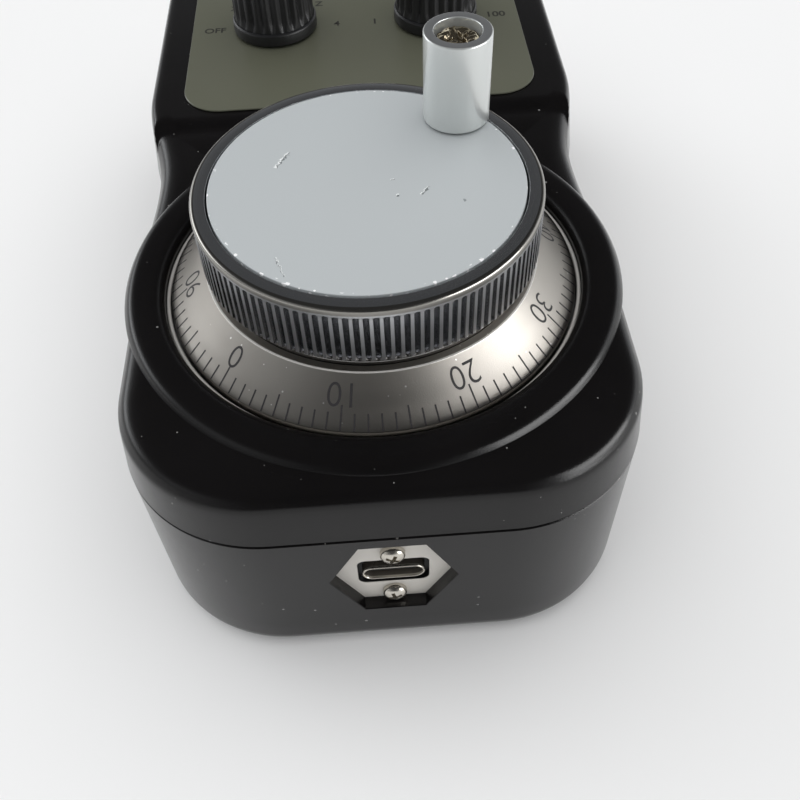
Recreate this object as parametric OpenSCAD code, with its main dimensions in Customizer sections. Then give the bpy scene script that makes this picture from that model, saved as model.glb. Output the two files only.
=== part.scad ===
// Hand-held pulse generator pendant: a graduated handwheel with a crank
// handle at one end, two rotary selectors on a label plate at the other,
// and a small cable socket in the wheel-end wall.
// The back of the housing lies on z = 0 and the wheel turns about the Z axis.

/* [Housing] */
// Width of the housing at the wheel end
wheel_end_w = 74.5; // [74.5:0.5:86]
// Width of the housing at the selector end
panel_end_w = 78; // [74:0.5:86]
// Width of the waist between the two ends
waist_w = 71.5; // [69:0.5:74]
// Distance from the wheel axis to the wheel-end wall
front_y = 40.5; // [38.5:0.5:43]
// Distance from the wheel axis to the selector-end wall
rear_y = 100; // [94:1:112]
// Height of the joint between the two shells
split_z = 31; // [30:0.5:31.5]
// Height of the flat deck beside the wheel
deck_z = 40.6; // [40:0.1:40.8]
// Height of the raised selector panel
panel_z = 42; // [41.5:0.25:43]
// Wall thickness of both shells
wall = 2; // [1.8:0.1:2.4]

/* [Dial and wheel] */
// Diameter of the graduated dial
dial_d = 60; // [56:1:61]
// Height of the dial's outer rim
rim_z = 40.4; // [40:0.2:42]
// Rise of the dial's cone from its rim to the knob
cone_rise = 5; // [4:0.2:6]
// Outer diameter of the fluted knob
knob_d = 48.3; // [46:0.1:50]
// Number of flutes round the knob
flute_count = 120; // [80:4:140]
// Depth of one flute
flute_depth = 0.45; // [0.3:0.05:0.6]
// Diameter of the flat cap on top of the knob
cap_d = 43.4; // [41:0.2:44]
// Diameter of the generator shaft
shaft_d = 8; // [6:0.5:8]

/* [Crank handle] */
// Diameter of the crank handle
handle_d = 9.5; // [9:0.1:11]
// Length of the crank handle
handle_h = 13.2; // [11:0.2:30]
// Distance from the wheel axis to the handle axis
handle_offset = 19.2; // [15:0.1:19.5]
// Angle of the handle round the wheel
handle_angle = 45; // [0:5:360]

/* [Selectors] */
// Distance of each selector from the centre line
selector_x = 15.5; // [14.5:0.25:17]
// Distance of the selectors from the wheel axis
selector_y = 68; // [64:1:72]
// Diameter of a selector knob
selector_d = 16; // [14:0.5:18]
// Height of a selector knob
selector_h = 14; // [11:0.5:18]

/* [Cable socket] */
// Height of the window's middle above the back of the housing
window_z = 20; // [17:0.1:20.5]
// How far the socket lies below the window's middle
socket_drop = 1.3; // [0:0.1:1.5]
// Width of the six-sided window across its side corners
window_w = 18; // [17:0.5:22]
// Height of the six-sided window
window_h = 17.8; // [17:0.2:19]

/* [Hidden] */
$fn = 96;

eps = 0.01;
run_gap = 0.03;      // radial clearance of a turning fit
turn_gap = 0.3;      // clearance between a turning piece and a fixed one
screw_gap = 0.2;     // radial clearance round a screw's shank

// Housing outline
front_corner_r = 21;
rear_corner_r = 12;
waist_y = 25;
waist_reach = 23;    // how far the waist's curve runs to each side
edge_r = 4.5;        // rounding of the edge the housing lies on
gasket_t = 0.3;
top_split_z = split_z + gasket_t;
panel_y = 38;        // where the raised panel starts
panel_corner_r = 5;
floor_t = 2.2;

// Pulse generator
dial_r = dial_d / 2;
flange_r = dial_r + 0.95;
flange_lip = 0.65;
flange_z = rim_z - 4.4;
flange_t = 1.5;
lip_z = rim_z - 0.7;
boss_r = flange_r + 5.95;
boss_z = rim_z + 1.5;
case_r = flange_r - 5.95;
case_t = 1.2;
case_z = flange_z - 20;
hub_r = 12;
hub_z = flange_z - 12;
bearing_r = 8;
bearing_h = 5;
generator_screw_at = flange_r - 2.45;
detent_r = case_r - 4.8;
disc_r = detent_r - 2.2;
disc_z = case_z + 4.4;
sensor_board_z = case_z + 2.4;
shaft_r = shaft_d / 2;

// Wheel
dial_skirt = 1.6;
knob_r = knob_d / 2;
dial_inner_r = knob_r - 0.15;
neck_r = knob_r - 1.55;
spigot_r = neck_r - 2.6;
knob_base_z = rim_z + cone_rise;
flute_z = knob_base_z + 2.5;
flute_h = 8.2;
shoulder_z = flute_z + flute_h + 0.9;
shoulder_r = knob_r - 0.75;
cap_r = cap_d / 2;
cap_t = 1.1;
cap_top = shoulder_z + 0.1;
groove = 0.35;
dial_screw_r = 0.85;
dial_screw_l = 4.2;

// Crank handle
handle_x = handle_offset * cos(handle_angle);
handle_y = handle_offset * sin(handle_angle);
handle_base = cap_top + turn_gap;
handle_top = handle_base + handle_h;
pivot_r = 2;
pivot_head_r = 2.95;
pivot_head_h = 2.3;
pivot_well_r = 3.3;
pivot_well = 3.4;

// Selectors
plate_t = 0.8;
plate_x = panel_end_w / 2 - 7.3;
plate_y0 = panel_y + 3.3;
plate_y1 = rear_y - 8;
plate_sink = 0.5;
plate_top = panel_z - plate_sink + plate_t;
switch_r = 12;
switch_h = 13;
bush_r = 4.5;
stem_r = 3;
panel_inner_z = panel_z - 2.5;
selector_gap = 0.5;
selector_z = plate_top + selector_gap;
nut_h = 2;
knob_well_r = 7;

// Socket
port_w = 8.94;
port_h = 3.26;
port_t = 0.3;
port_len = 7;
pocket_w = 10.2;
pocket_h = 6.4;
socket_plate_t = 1;
window_side = window_w / 2;
plate_face_y = -front_y + wall;
socket_z = window_z - socket_drop;
socket_screw_dz = 5.5;
socket_screw_r = 0.85;
socket_board_l = 11;

// Circuit boards and fasteners
board_t = 1.6;
board_z = 9;
board_x = panel_end_w / 2 - 10;
board_y0 = panel_y + 8;
board_y1 = rear_y - 13;
post_r = 3.6;
ribbon_t = 0.8;
post_bore = 1.25;
shell_screw_r = 1.5;
shell_screw_head_r = 2.75;
shell_screw_head_h = 2.4;
shell_screw_seat = 5;
shell_screw_spots = [for (s = [1, -1]) for (p = [
    [wheel_end_w / 2 - 9.5, 15 - front_y], [waist_w / 2 - 7.3, waist_y + 5],
    [panel_end_w / 2 - 8, rear_y - 7.5]]) [s * p.x, p.y]];
board_screw_spots = [for (x = [4 - board_x, board_x - 4],
                          y = [board_y0 + 4, board_y1 - 4]) [x, y]];

black_abs = "#1b1b1d";
satin_aluminium = "#b9bbbd";
bright_aluminium = "#c9cbcd";
steel = "#9a9c9f";
nickel = "#b5b1a6";
board_green = "#1f5a37";
cap_grey = "#b4bbbf";
plate_grey = "#b9b9a9";

// ---- shared shapes ----

// Half width of the housing at y: a smooth dip at the waist.
function half_width(y) =
    let (end_w = y < waist_y ? wheel_end_w : panel_end_w)
    let (s = min(1, abs(y - waist_y) / waist_reach))
    waist_w / 2 + (end_w - waist_w) / 4 * (1 - cos(180 * s));

function arc(cx, cy, r, a0, a1, steps) =
    [for (i = [0:steps]) let (a = a0 + (a1 - a0) * i / steps)
        [cx + r * cos(a), cy + r * sin(a)]];

// Right-hand half of the housing outline, moved inwards by t.
function half_outline(t) = concat(
    arc(wheel_end_w / 2 - front_corner_r, front_corner_r - front_y,
        front_corner_r - t, -90, 0, 10),
    [for (i = [1:14]) let (y = waist_y + waist_reach * (i / 7.5 - 1))
        [half_width(y) - t, y]],
    arc(panel_end_w / 2 - rear_corner_r, rear_y - rear_corner_r,
        rear_corner_r - t, 0, 90, 6));

function mirrored(half) = concat(half,
    [for (i = [len(half) - 1:-1:0]) [-half[i].x, half[i].y]]);

function outline(t) = mirrored(half_outline(t));

// Outline of the raised panel, with its straight edge towards the wheel.
function panel_outline(t) = mirrored(concat(
    arc(half_width(panel_y + panel_corner_r) - panel_corner_r,
        panel_y + panel_corner_r, panel_corner_r - t, -90, -20, 5),
    [for (dy = [0, 2, 5]) let (y = panel_y + panel_corner_r + dy)
        [half_width(y) - t, y]],
    arc(panel_end_w / 2 - rear_corner_r, rear_y - rear_corner_r,
        rear_corner_r - t, 0, 90, 6)));

// Solid through a stack of rings, each one [points, height].
module loft(rings) {
    n = len(rings[0][0]);
    last = len(rings) - 1;
    polyhedron(
        points = [for (ring = rings) for (p = ring[0]) [p.x, p.y, ring[1]]],
        faces = concat(
            [[for (i = [0:n - 1]) i]],
            [for (k = [0:last - 1]) for (i = [0:n - 1]) let (j = (i + 1) % n)
                [k * n + i, (k + 1) * n + i, (k + 1) * n + j, k * n + j]],
            [[for (i = [n - 1:-1:0]) last * n + i]]));
}

// Prism of the housing outline, moved inwards by t.
module prism(t, z0, z1) {
    translate([0, 0, z0]) linear_extrude(z1 - z0) polygon(outline(t));
}

module ring(r_out, r_in, z0, z1) {
    rotate_extrude()
        translate([r_in, z0]) square([r_out - r_in, z1 - z0]);
}

module rounded_rect(x0, x1, y0, y1, r) {
    translate([x0 + r, y0]) square([x1 - x0 - 2 * r, y1 - y0]);
    translate([x0, y0 + r]) square([x1 - x0, y1 - y0 - 2 * r]);
    for (x = [x0 + r, x1 - r], y = [y0 + r, y1 - r])
        translate([x, y]) circle(r);
}

// Six-sided window seen along Y, grown by g on every side.
module window_shape(g = 0) {
    w = window_w / 2 + g * 1.15;
    h = window_h / 2 + g;
    top = window_side / 2 + g / 2;
    polygon([[-w, 0], [-top, -h], [top, -h], [w, 0], [top, h], [-top, h]]);
}

// Turns a flat shape drawn about height z into a slab from y0 to y1.
module upright(y0, y1, z = socket_z) {
    translate([0, y1, z]) rotate([90, 0, 0])
        linear_extrude(y1 - y0) children();
}

module slot_shape(w, h) {
    r = h / 2;
    translate([-w / 2 + r, -h / 2]) square([w - h, h]);
    for (x = [-w / 2 + r, w / 2 - r]) translate([x, 0]) circle(r);
}

// Screw standing along +Z: its head starts at z = 0 and its shank goes down.
module cross_screw(head_r, head_h, shank_r, shank_l) {
    difference() {
        union() {
            cylinder(r = head_r, h = head_h);
            translate([0, 0, -shank_l]) cylinder(r = shank_r, h = shank_l + eps);
        }
        for (a = [0, 90]) rotate(a)
            translate([-head_r * 0.6, -head_r * 0.12, head_h * 0.45])
                cube([head_r * 1.2, head_r * 0.24, head_h]);
    }
}

// ---- housing ----

module bottom_shell() {
    color(black_abs) difference() {
        union() {
            difference() {
                loft([for (a = [0:22.5:90])
                          [outline(edge_r * (1 - sin(a))), edge_r * (1 - cos(a))],
                      [outline(0), split_z]]);
                prism(wall, floor_t, split_z + 1);
            }
            for (p = shell_screw_spots) translate([p.x, p.y, 1])
                cylinder(r = post_r + 0.6, h = split_z - 1);
            for (p = board_screw_spots) translate([p.x, p.y, 1])
                cylinder(r = post_r, h = board_z - 1);
            socket_frame();
        }
        for (p = shell_screw_spots) translate([p.x, p.y, -1]) {
            cylinder(r = shell_screw_r + screw_gap, h = split_z + 2);
            cylinder(r = shell_screw_head_r + 0.3, h = shell_screw_seat + 1);
        }
        for (p = board_screw_spots) translate([p.x, p.y, 3])
            cylinder(r = post_bore, h = board_z);
        upright(-front_y - 1, plate_face_y + eps, window_z) window_shape();
    }
}

// Two cross bars behind the wall that take the socket plate's screws, and
// the two ribs that carry them.
module socket_frame() {
    back_y = plate_face_y + socket_plate_t;
    bar_h = 3.2;
    bar_t = 4.5;
    for (s = [-1, 1]) difference() {
        translate([-10, back_y, socket_z + s * socket_screw_dz - bar_h / 2])
            cube([20, bar_t, bar_h]);
        translate([0, back_y - 1, socket_z + s * socket_screw_dz])
            rotate([-90, 0, 0]) cylinder(r = socket_screw_r, h = bar_t + 2);
    }
    for (x = [-11, 9.5]) translate([x, 1 - front_y, 1])
        cube([1.5, back_y + bar_t + front_y - 1, split_z - 2]);
}

// Steps of [how far the outline moves inwards, height] up the cover's sides.
side_h = deck_z - top_split_z;
round_h = min(3.7, 0.6 * side_h);
side_profile = [[0, top_split_z], [0.25, top_split_z + 0.7 * (side_h - round_h)],
                [0.6, deck_z - round_h]];
cover_profile = concat(side_profile,
    [[1.2, deck_z - 0.57 * round_h], [2.2, deck_z - 0.24 * round_h],
     [3.5, deck_z - 0.05 * round_h], [5, deck_z]]);
panel_profile = concat(side_profile,
    [[1.1, panel_z - 3.5], [1.5, panel_z - 1.9], [2.2, panel_z - 0.8],
     [3.2, panel_z - 0.2], [4.4, panel_z]]);

module top_shell() {
    color(black_abs) difference() {
        union() {
            difference() {
                union() {
                    loft([for (s = cover_profile) [outline(s[0]), s[1]]]);
                    loft([for (s = panel_profile) [panel_outline(s[0]), s[1]]]);
                    boss();
                }
                prism(wall + 0.6, top_split_z - 1, deck_z - wall - 0.4);
                translate([0, 0, top_split_z])
                    linear_extrude(panel_inner_z - top_split_z)
                        rounded_rect(5 - panel_end_w / 2, panel_end_w / 2 - 5,
                                     panel_y + 4.5, rear_y - 5, 6);
                ring(boss_r - 1.9, flange_r + 2.4, top_split_z, boss_z - 2.2);
            }
            ring(flange_r + 2.5, case_r + 0.4, flange_z - 2.4, flange_z);
            ring(flange_r + 2.5, flange_r, flange_z - 0.5, deck_z - wall);
            for (p = shell_screw_spots) translate([p.x, p.y, top_split_z])
                cylinder(r = post_r, h = deck_z - wall - top_split_z);
        }
        ring(flange_r + 0.05, 0, flange_z, boss_z + 1);
        cylinder(r = case_r + 0.4, h = flange_z + 1);
        lip_round();
        for (p = shell_screw_spots) translate([p.x, p.y, top_split_z - 1])
            cylinder(r = post_bore, h = 7);
        for (a = [90, 210, 330]) rotate(a)
            translate([generator_screw_at, 0, 0])
                cylinder(r = 1.5 + screw_gap, h = flange_z + 1);
        for (s = [-1, 1]) translate([s * selector_x, selector_y, 0])
            cylinder(r = bush_r + 0.1, h = panel_z + 1);
        translate([0, 0, panel_z - plate_sink])
            linear_extrude(1)
                rounded_rect(-plate_x - 0.1, plate_x + 0.1,
                             plate_y0 - 0.1, plate_y1 + 0.1, 7.1);
    }
}

// Round raised collar round the dial, kept inside the housing outline.
module boss() {
    round_r = 0.8 * (boss_z - deck_z);
    intersection() {
        rotate_extrude() polygon(concat(
            [[0, top_split_z + 1], [boss_r, top_split_z + 1]],
            arc(boss_r - round_r, boss_z - round_r, round_r, 0, 90, 6),
            [[0, boss_z]]));
        prism(0.35, top_split_z, boss_z + 1);
    }
}

// Rounds the collar's inner edge over towards the dial.
module lip_round() {
    r = 1.7;
    rotate_extrude() polygon(concat(
        [[flange_r - 1, boss_z + 0.1], [flange_r - 1, boss_z - r]],
        [for (i = [0:6]) let (a = 180 - 15 * i)
            [flange_r + 0.05 + r + r * cos(a), boss_z - r + r * sin(a) + eps]],
        [[flange_r + r, boss_z + 0.1]]));
}

module shell_gasket() {
    color("#0c0c0d") difference() {
        prism(0.45, split_z, top_split_z);
        prism(wall + 0.6, split_z - 1, top_split_z + 1);
    }
}

module shell_screws() {
    color(steel)
        for (p = shell_screw_spots) translate([p.x, p.y, shell_screw_seat])
            mirror([0, 0, 1])
                cross_screw(shell_screw_head_r, shell_screw_head_h, post_bore,
                            split_z + 5 - shell_screw_seat);
}

module selector_plate() {
    color(plate_grey) difference() {
        translate([0, 0, panel_z - plate_sink]) linear_extrude(plate_t)
            rounded_rect(-plate_x, plate_x, plate_y0, plate_y1, 7);
        for (s = [-1, 1]) translate([s * selector_x, selector_y, panel_z - 1])
            cylinder(r = bush_r + 0.1, h = 3);
    }
}

// ---- pulse generator ----

module generator_flange() {
    color(bright_aluminium) difference() {
        union() {
            ring(flange_r, bearing_r, flange_z, flange_z + flange_t);
            ring(flange_r, flange_r - flange_lip, flange_z, lip_z);
            ring(hub_r, bearing_r, hub_z, flange_z + eps);
        }
        for (a = [90, 210, 330]) rotate(a)
            translate([generator_screw_at, 0, flange_z - 1])
                cylinder(r = 1.25, h = flange_t + 0.9);
    }
}

module generator_screws() {
    color(steel)
        for (a = [90, 210, 330]) rotate(a)
            translate([generator_screw_at, 0, flange_z - 2.4])
                mirror([0, 0, 1])
                    cross_screw(2.3, 1.6, 1.25, 3.6);
}

module generator_case() {
    color("#2a2b2e") ring(case_r, case_r - case_t, case_z + case_t, flange_z);
}

module generator_cover() {
    inner_r = case_r - case_t;
    color("#3a3b3e") difference() {
        union() {
            ring(case_r, 0, case_z, case_z + case_t);
            ring(inner_r, inner_r - case_t, case_z + case_t - eps, case_z + 2.4);
        }
        translate([-7, 8 - case_r, case_z - 1]) cube([14, 4, 4]);
    }
}

module terminal_block() {
    color("#2f6b4a") difference() {
        translate([-12, 6 - case_r, case_z - 5]) cube([24, 8, 5]);
        for (i = [-2:2]) {
            translate([i * 4.4, 10 - case_r, case_z - 6]) cylinder(r = 1.2, h = 3.5);
            translate([i * 4.4 - 1.2, 5 - case_r, case_z - 4.2]) cube([2.4, 3, 2.2]);
        }
    }
}

module bearing(top) {
    color("#c2c4c6") difference() {
        ring(bearing_r, shaft_r + run_gap, top - bearing_h, top);
        for (z = [top - 0.3, top - bearing_h - 0.3])
            translate([0, 0, z]) ring(7, 5.1, 0, 0.6);
    }
}

module upper_bearing() { bearing(flange_z); }

module lower_bearing() { bearing(hub_z + bearing_h); }

module bearing_spacer() {
    color(steel)
        ring(bearing_r, bearing_r - 1.2, hub_z + bearing_h, flange_z - bearing_h);
}

// Leaf that rides the detent wheel, fixed to the inside of the case.
module detent_spring() {
    leaf = 0.4;
    half = 6;
    y0 = detent_r + turn_gap + 0.55;
    leg = sqrt(pow(case_r - case_t, 2) - pow(half, 2)) - y0;
    color("#c7a24d") translate([0, y0, disc_z + 1.6]) linear_extrude(1.6) {
        translate([-half, 0]) square([2 * half, leaf]);
        polygon([[-1.2, eps], [0, -0.55], [1.2, eps]]);
        for (x = [-half, half - leaf]) translate([x, 0]) square([leaf, leg]);
    }
}

module sensor_board() {
    color(board_green) difference() {
        translate([0, 0, sensor_board_z - 1]) cylinder(r = case_r - case_t - 1.2, h = 1);
        translate([0, 0, sensor_board_z - 2]) cylinder(r = 7, h = 3);
    }
}

// Fork sensor that the code disc's edge runs through.
module optical_sensor() {
    color("#141416") difference() {
        translate([-4, 4 - case_r, sensor_board_z]) cube([8, 6, 3.6]);
        translate([-5, 5.5 - case_r, disc_z - 0.5]) cube([10, 6, 1.3]);
    }
}

module generator_shaft() {
    color("#c6c8ca") {
        translate([0, 0, case_z + 2])
            cylinder(r = shaft_r, h = shoulder_z - 6 - case_z - 2);
        translate([0, 0, flange_z + turn_gap]) cylinder(r = shaft_r + 1, h = 1.2);
    }
}

module detent_wheel() {
    teeth = 100;
    color(steel) translate([0, 0, disc_z + 1.8]) difference() {
        linear_extrude(1.2) polygon([for (i = [0:2 * teeth - 1])
            let (a = 90 + 180 / teeth * (i + 1), r = detent_r - (i % 2 == 0 ? 0 : 0.35))
                [r * cos(a), r * sin(a)]]);
        translate([0, 0, -1]) cylinder(r = shaft_r, h = 3);
    }
}

module code_disc() {
    color("#8d9194") difference() {
        union() {
            translate([0, 0, disc_z]) cylinder(r = disc_r, h = 0.3);
            translate([0, 0, disc_z - 1.2]) cylinder(r = 6, h = 1.5 + 1.3);
        }
        translate([0, 0, disc_z - 2]) cylinder(r = shaft_r, h = 6);
        for (i = [0:24]) rotate(360 / 25 * i)
            translate([disc_r - 3.2, -0.7, disc_z - 1]) cube([2.2, 1.4, 3]);
    }
}

module shaft_clip() {
    color(steel) difference() {
        ring(shaft_r + 1.6, shaft_r, disc_z - 2, disc_z - 1.2);
        translate([0, -1.2, disc_z - 2.4]) cube([10, 2.4, 2]);
    }
}

// ---- wheel ----

module graduated_dial() {
    skin = 1.3;
    slope_z = rim_z - dial_skirt;
    color(satin_aluminium) difference() {
        rotate_extrude() polygon([
            [dial_r, slope_z], [dial_r, rim_z], [dial_inner_r, knob_base_z],
            [dial_inner_r - 0.7, knob_base_z], [dial_inner_r - 0.7, knob_base_z - 0.35],
            [spigot_r, knob_base_z - 0.35], [spigot_r, knob_base_z - 2.4],
            [dial_inner_r - 1, knob_base_z - 2.4],
            [dial_inner_r, knob_base_z - skin - 0.4],
            [dial_r - skin, slope_z]]);
        dial_screw_bores();
    }
}

// Places of the screws that hold the dial up against the knob.
module at_dial_screws() {
    for (a = [30, 150, 270]) rotate(a)
        translate([(spigot_r + neck_r) / 2, 0, knob_base_z - 2.4]) children();
}

module dial_screw_bores() {
    at_dial_screws() translate([0, 0, -1]) cylinder(r = dial_screw_r, h = dial_screw_l + 1.2);
}

module dial_screws() {
    color(steel) at_dial_screws() mirror([0, 0, 1])
        cross_screw(1.5, 0.9, dial_screw_r, dial_screw_l);
}

// Star outline of the fluted band.
function flute_outline() = [for (i = [0:2 * flute_count - 1])
    let (a = 180 / flute_count * i, r = knob_r - (i % 2 == 0 ? 0 : flute_depth))
        [r * cos(a), r * sin(a)]];

module fluted_knob() {
    past = 0.5;
    neck_z = knob_base_z + 0.9;
    well_z = shoulder_z - 1;
    color(bright_aluminium) difference() {
        union() {
            rotate_extrude() polygon([
                [shaft_r, knob_base_z - 7], [9, knob_base_z - 7],
                [9, shoulder_z - 4], [spigot_r - 2, shoulder_z - 4],
                [spigot_r - 2, knob_base_z - 2.4], [spigot_r, knob_base_z - 2.4],
                [spigot_r, knob_base_z - 0.35], [neck_r, knob_base_z - 0.35],
                [neck_r, well_z], [shaft_r, well_z]]);
            intersection() {
                translate([0, 0, neck_z]) linear_extrude(shoulder_z - neck_z)
                    difference() {
                        polygon(flute_outline());
                        circle(cap_r + groove);
                    }
                rotate_extrude() polygon([
                    [0, neck_z], [neck_r, neck_z],
                    [knob_r + past, flute_z + past],
                    [knob_r + past, shoulder_z - 1.2 * (knob_r + past - shoulder_r)],
                    [shoulder_r, shoulder_z],
                    [0, shoulder_z]]);
            }
        }
        dial_screw_bores();
        translate([handle_x, handle_y, well_z - 8]) cylinder(r = 1.5, h = 10);
        for (a = [0, 90]) rotate([0, 0, a - 45])
            translate([0, 0, knob_base_z - 4.5]) rotate([0, 90, 0])
                cylinder(r = 1.5, h = 10);
    }
}

module cap_disc() {
    color(cap_grey) difference() {
        translate([0, 0, cap_top - cap_t]) cylinder(r = cap_r, h = cap_t);
        translate([handle_x, handle_y, cap_top - 3]) cylinder(r = 1.7, h = 5);
    }
}

module wheel_set_screws() {
    color("#202124") for (a = [0, 90]) rotate([0, 0, a - 45])
        translate([shaft_r, 0, knob_base_z - 4.5]) rotate([0, 90, 0])
            difference() {
                cylinder(r = 1.5, h = 4.4);
                translate([0, 0, 2.8]) cylinder(r = 0.8, h = 3, $fn = 6);
            }
}

module handle_pivot() {
    head_z = handle_top - pivot_well + turn_gap;
    color(nickel) translate([handle_x, handle_y, 0]) difference() {
        union() {
            translate([0, 0, shoulder_z - 9]) cylinder(r = 1.5, h = 10);
            translate([0, 0, cap_top]) cylinder(r = pivot_r, h = head_z - cap_top + eps);
            translate([0, 0, head_z]) cylinder(r = pivot_head_r, h = pivot_head_h);
        }
        for (a = [20, 110]) rotate(a)
            translate([-1.8, -0.4, head_z + 1]) cube([3.6, 0.8, 3]);
    }
}

module crank_handle() {
    edge = 0.3;
    r = handle_d / 2;
    color("#b9bdbe") translate([handle_x, handle_y, 0])
        rotate_extrude() polygon([
            [pivot_r + 0.05, handle_base], [r - edge, handle_base],
            [r, handle_base + edge], [r, handle_top - edge], [r - edge, handle_top],
            [pivot_well_r + 0.2, handle_top], [pivot_well_r, handle_top - 0.2],
            [pivot_well_r, handle_top - pivot_well],
            [pivot_r + 0.05, handle_top - pivot_well]]);
}

// ---- selectors ----

module switch_body() {
    color("#26282b") {
        difference() {
            translate([0, 0, panel_inner_z - switch_h])
                cylinder(r = switch_r, h = switch_h);
            translate([0, 0, panel_inner_z - switch_h + 3])
                cylinder(r = stem_r + run_gap, h = switch_h);
        }
        ring(bush_r, stem_r + run_gap, panel_inner_z - eps, plate_top + nut_h + 1);
        for (a = [15:30:345]) rotate(a)
            translate([9.5, -0.5, panel_inner_z - switch_h - 3]) cube([0.4, 1, 3.2]);
    }
}

module switch_nut() {
    color(nickel) difference() {
        translate([0, 0, plate_top]) cylinder(r = 6.3, h = nut_h, $fn = 6);
        translate([0, 0, plate_top - 1]) cylinder(r = bush_r, h = nut_h + 2);
    }
}

module switch_stem() {
    color(steel) translate([0, 0, panel_inner_z - switch_h + 3.2])
        cylinder(r = stem_r, h = selector_z + selector_h - 2 - panel_inner_z + switch_h - 3.2);
}

// Fluted knob with a flat top, a skirt over the nut and a bore for the stem.
module selector_knob() {
    r = selector_d / 2;
    flutes = 24;
    color("#161618") translate([0, 0, selector_z]) difference() {
        union() {
            cylinder(r = r, h = 2);
            linear_extrude(selector_h - 0.8) polygon([for (i = [0:4 * flutes - 1])
                let (a = 90 / flutes * i, q = r - 0.3 - (i % 4 < 2 ? 0 : 0.5))
                    [q * cos(a), q * sin(a)]]);
            cylinder(r = r - 1.2, h = selector_h);
        }
        translate([0, 0, -1]) cylinder(r = knob_well_r, h = nut_h + 3);
        translate([0, 0, -1]) cylinder(r = stem_r, h = selector_h - 1);
        translate([-r - 1, -0.5, selector_h - 0.5]) cube([r, 1, 2]);
        translate([0, 0, 8]) rotate([0, 90, 0]) cylinder(r = 1, h = r + 1);
    }
}

module knob_screw() {
    color(steel) translate([stem_r, 0, selector_z + 8]) rotate([0, 90, 0])
        difference() {
            cylinder(r = 1, h = selector_d / 2 - stem_r - 1.2);
            translate([0, 0, 2.2]) cylinder(r = 0.5, h = 3, $fn = 6);
        }
}

module at_axis() { translate([-selector_x, selector_y, 0]) children(); }

module at_multiplier() { translate([selector_x, selector_y, 0]) children(); }

module axis_switch() { at_axis() switch_body(); }

module axis_switch_nut() { at_axis() switch_nut(); }

module axis_switch_shaft() { at_axis() switch_stem(); }

module axis_knob() { at_axis() selector_knob(); }

module axis_knob_screw() { at_axis() knob_screw(); }

module multiplier_switch() { at_multiplier() switch_body(); }

module multiplier_switch_nut() { at_multiplier() switch_nut(); }

module multiplier_switch_shaft() { at_multiplier() switch_stem(); }

module multiplier_knob() { at_multiplier() selector_knob(); }

module multiplier_knob_screw() { at_multiplier() knob_screw(); }

// ---- cable socket ----

module socket_plate() {
    color("#a9a9a6") difference() {
        translate([-9.4, plate_face_y, window_z - window_h / 2 - 0.6])
            cube([18.8, socket_plate_t, window_h + 1.2]);
        upright(plate_face_y - 1, plate_face_y + 2)
            rounded_rect(-pocket_w / 2, pocket_w / 2, -pocket_h / 2, pocket_h / 2, 1.2);
        for (s = [-1, 1])
            translate([0, plate_face_y - 1, socket_z + s * socket_screw_dz])
                rotate([-90, 0, 0]) cylinder(r = socket_screw_r + 0.1, h = 3);
    }
}

module socket_shell() {
    color(nickel) difference() {
        upright(plate_face_y - 0.3, plate_face_y + port_len) slot_shape(port_w, port_h);
        upright(plate_face_y - 1, plate_face_y + port_len - 0.5)
            slot_shape(port_w - 2 * port_t, port_h - 2 * port_t);
    }
}

module socket_tongue() {
    color("#1a1a1b")
        translate([-3.35, plate_face_y + 0.4, socket_z - 0.35])
            cube([6.7, port_len - 0.9, 0.7]);
}

module socket_board() {
    color(board_green)
        translate([-9, plate_face_y + socket_plate_t + 0.6, socket_z - port_h / 2 - 1])
            cube([18, socket_board_l, 1]);
}

module socket_screws() {
    color(nickel) for (s = [-1, 1])
        translate([0, plate_face_y, socket_z + s * socket_screw_dz])
            rotate([90, 0, 0]) cross_screw(1.65, 1.2, socket_screw_r, 5);
}

// ---- boards and wiring ----

module main_board() {
    color(board_green) difference() {
        translate([-board_x, board_y0, board_z])
            cube([2 * board_x, board_y1 - board_y0, board_t]);
        for (p = board_screw_spots) translate([p.x, p.y, board_z - 1])
            cylinder(r = 1.5, h = 4);
    }
    color("#26272a") {
        translate([-14, board_y0 + 16, board_z + board_t]) cube([12, 12, 1.6]);
        translate([6, board_y0 + 14, board_z + board_t]) cube([9, 14, 1.6]);
        translate([-7, board_y0 + 1, board_z + board_t]) cube([14, 5, 4]);
    }
}

module board_screws() {
    color(steel) for (p = board_screw_spots)
        translate([p.x, p.y, board_z + board_t]) cross_screw(2.2, 1.5, post_bore, 5);
}

// Flat lead lying along the housing's centre line, drawn in Y and Z.
module ribbon(width) {
    translate([-width / 2, 0, 0]) rotate([90, 0, 90]) linear_extrude(width)
        children();
}

module generator_ribbon() {
    color("#6d7073") ribbon(10)
        translate([14 - case_r, board_z + board_t + 1])
            square([board_y0 + 1 - 14 + case_r, ribbon_t]);
}

module socket_ribbon() {
    y0 = plate_face_y + socket_plate_t + socket_board_l - 0.4;
    y1 = board_y0 + 14;
    low_z = floor_t + 1.2;
    color("#6d7073") ribbon(8) {
        translate([y0, low_z]) square([y1 - y0, ribbon_t]);
        translate([y0, low_z])
            square([ribbon_t, socket_z - port_h / 2 - 1 - low_z]);
        translate([y1 - ribbon_t, low_z]) square([ribbon_t, board_z - low_z]);
    }
}

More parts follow.
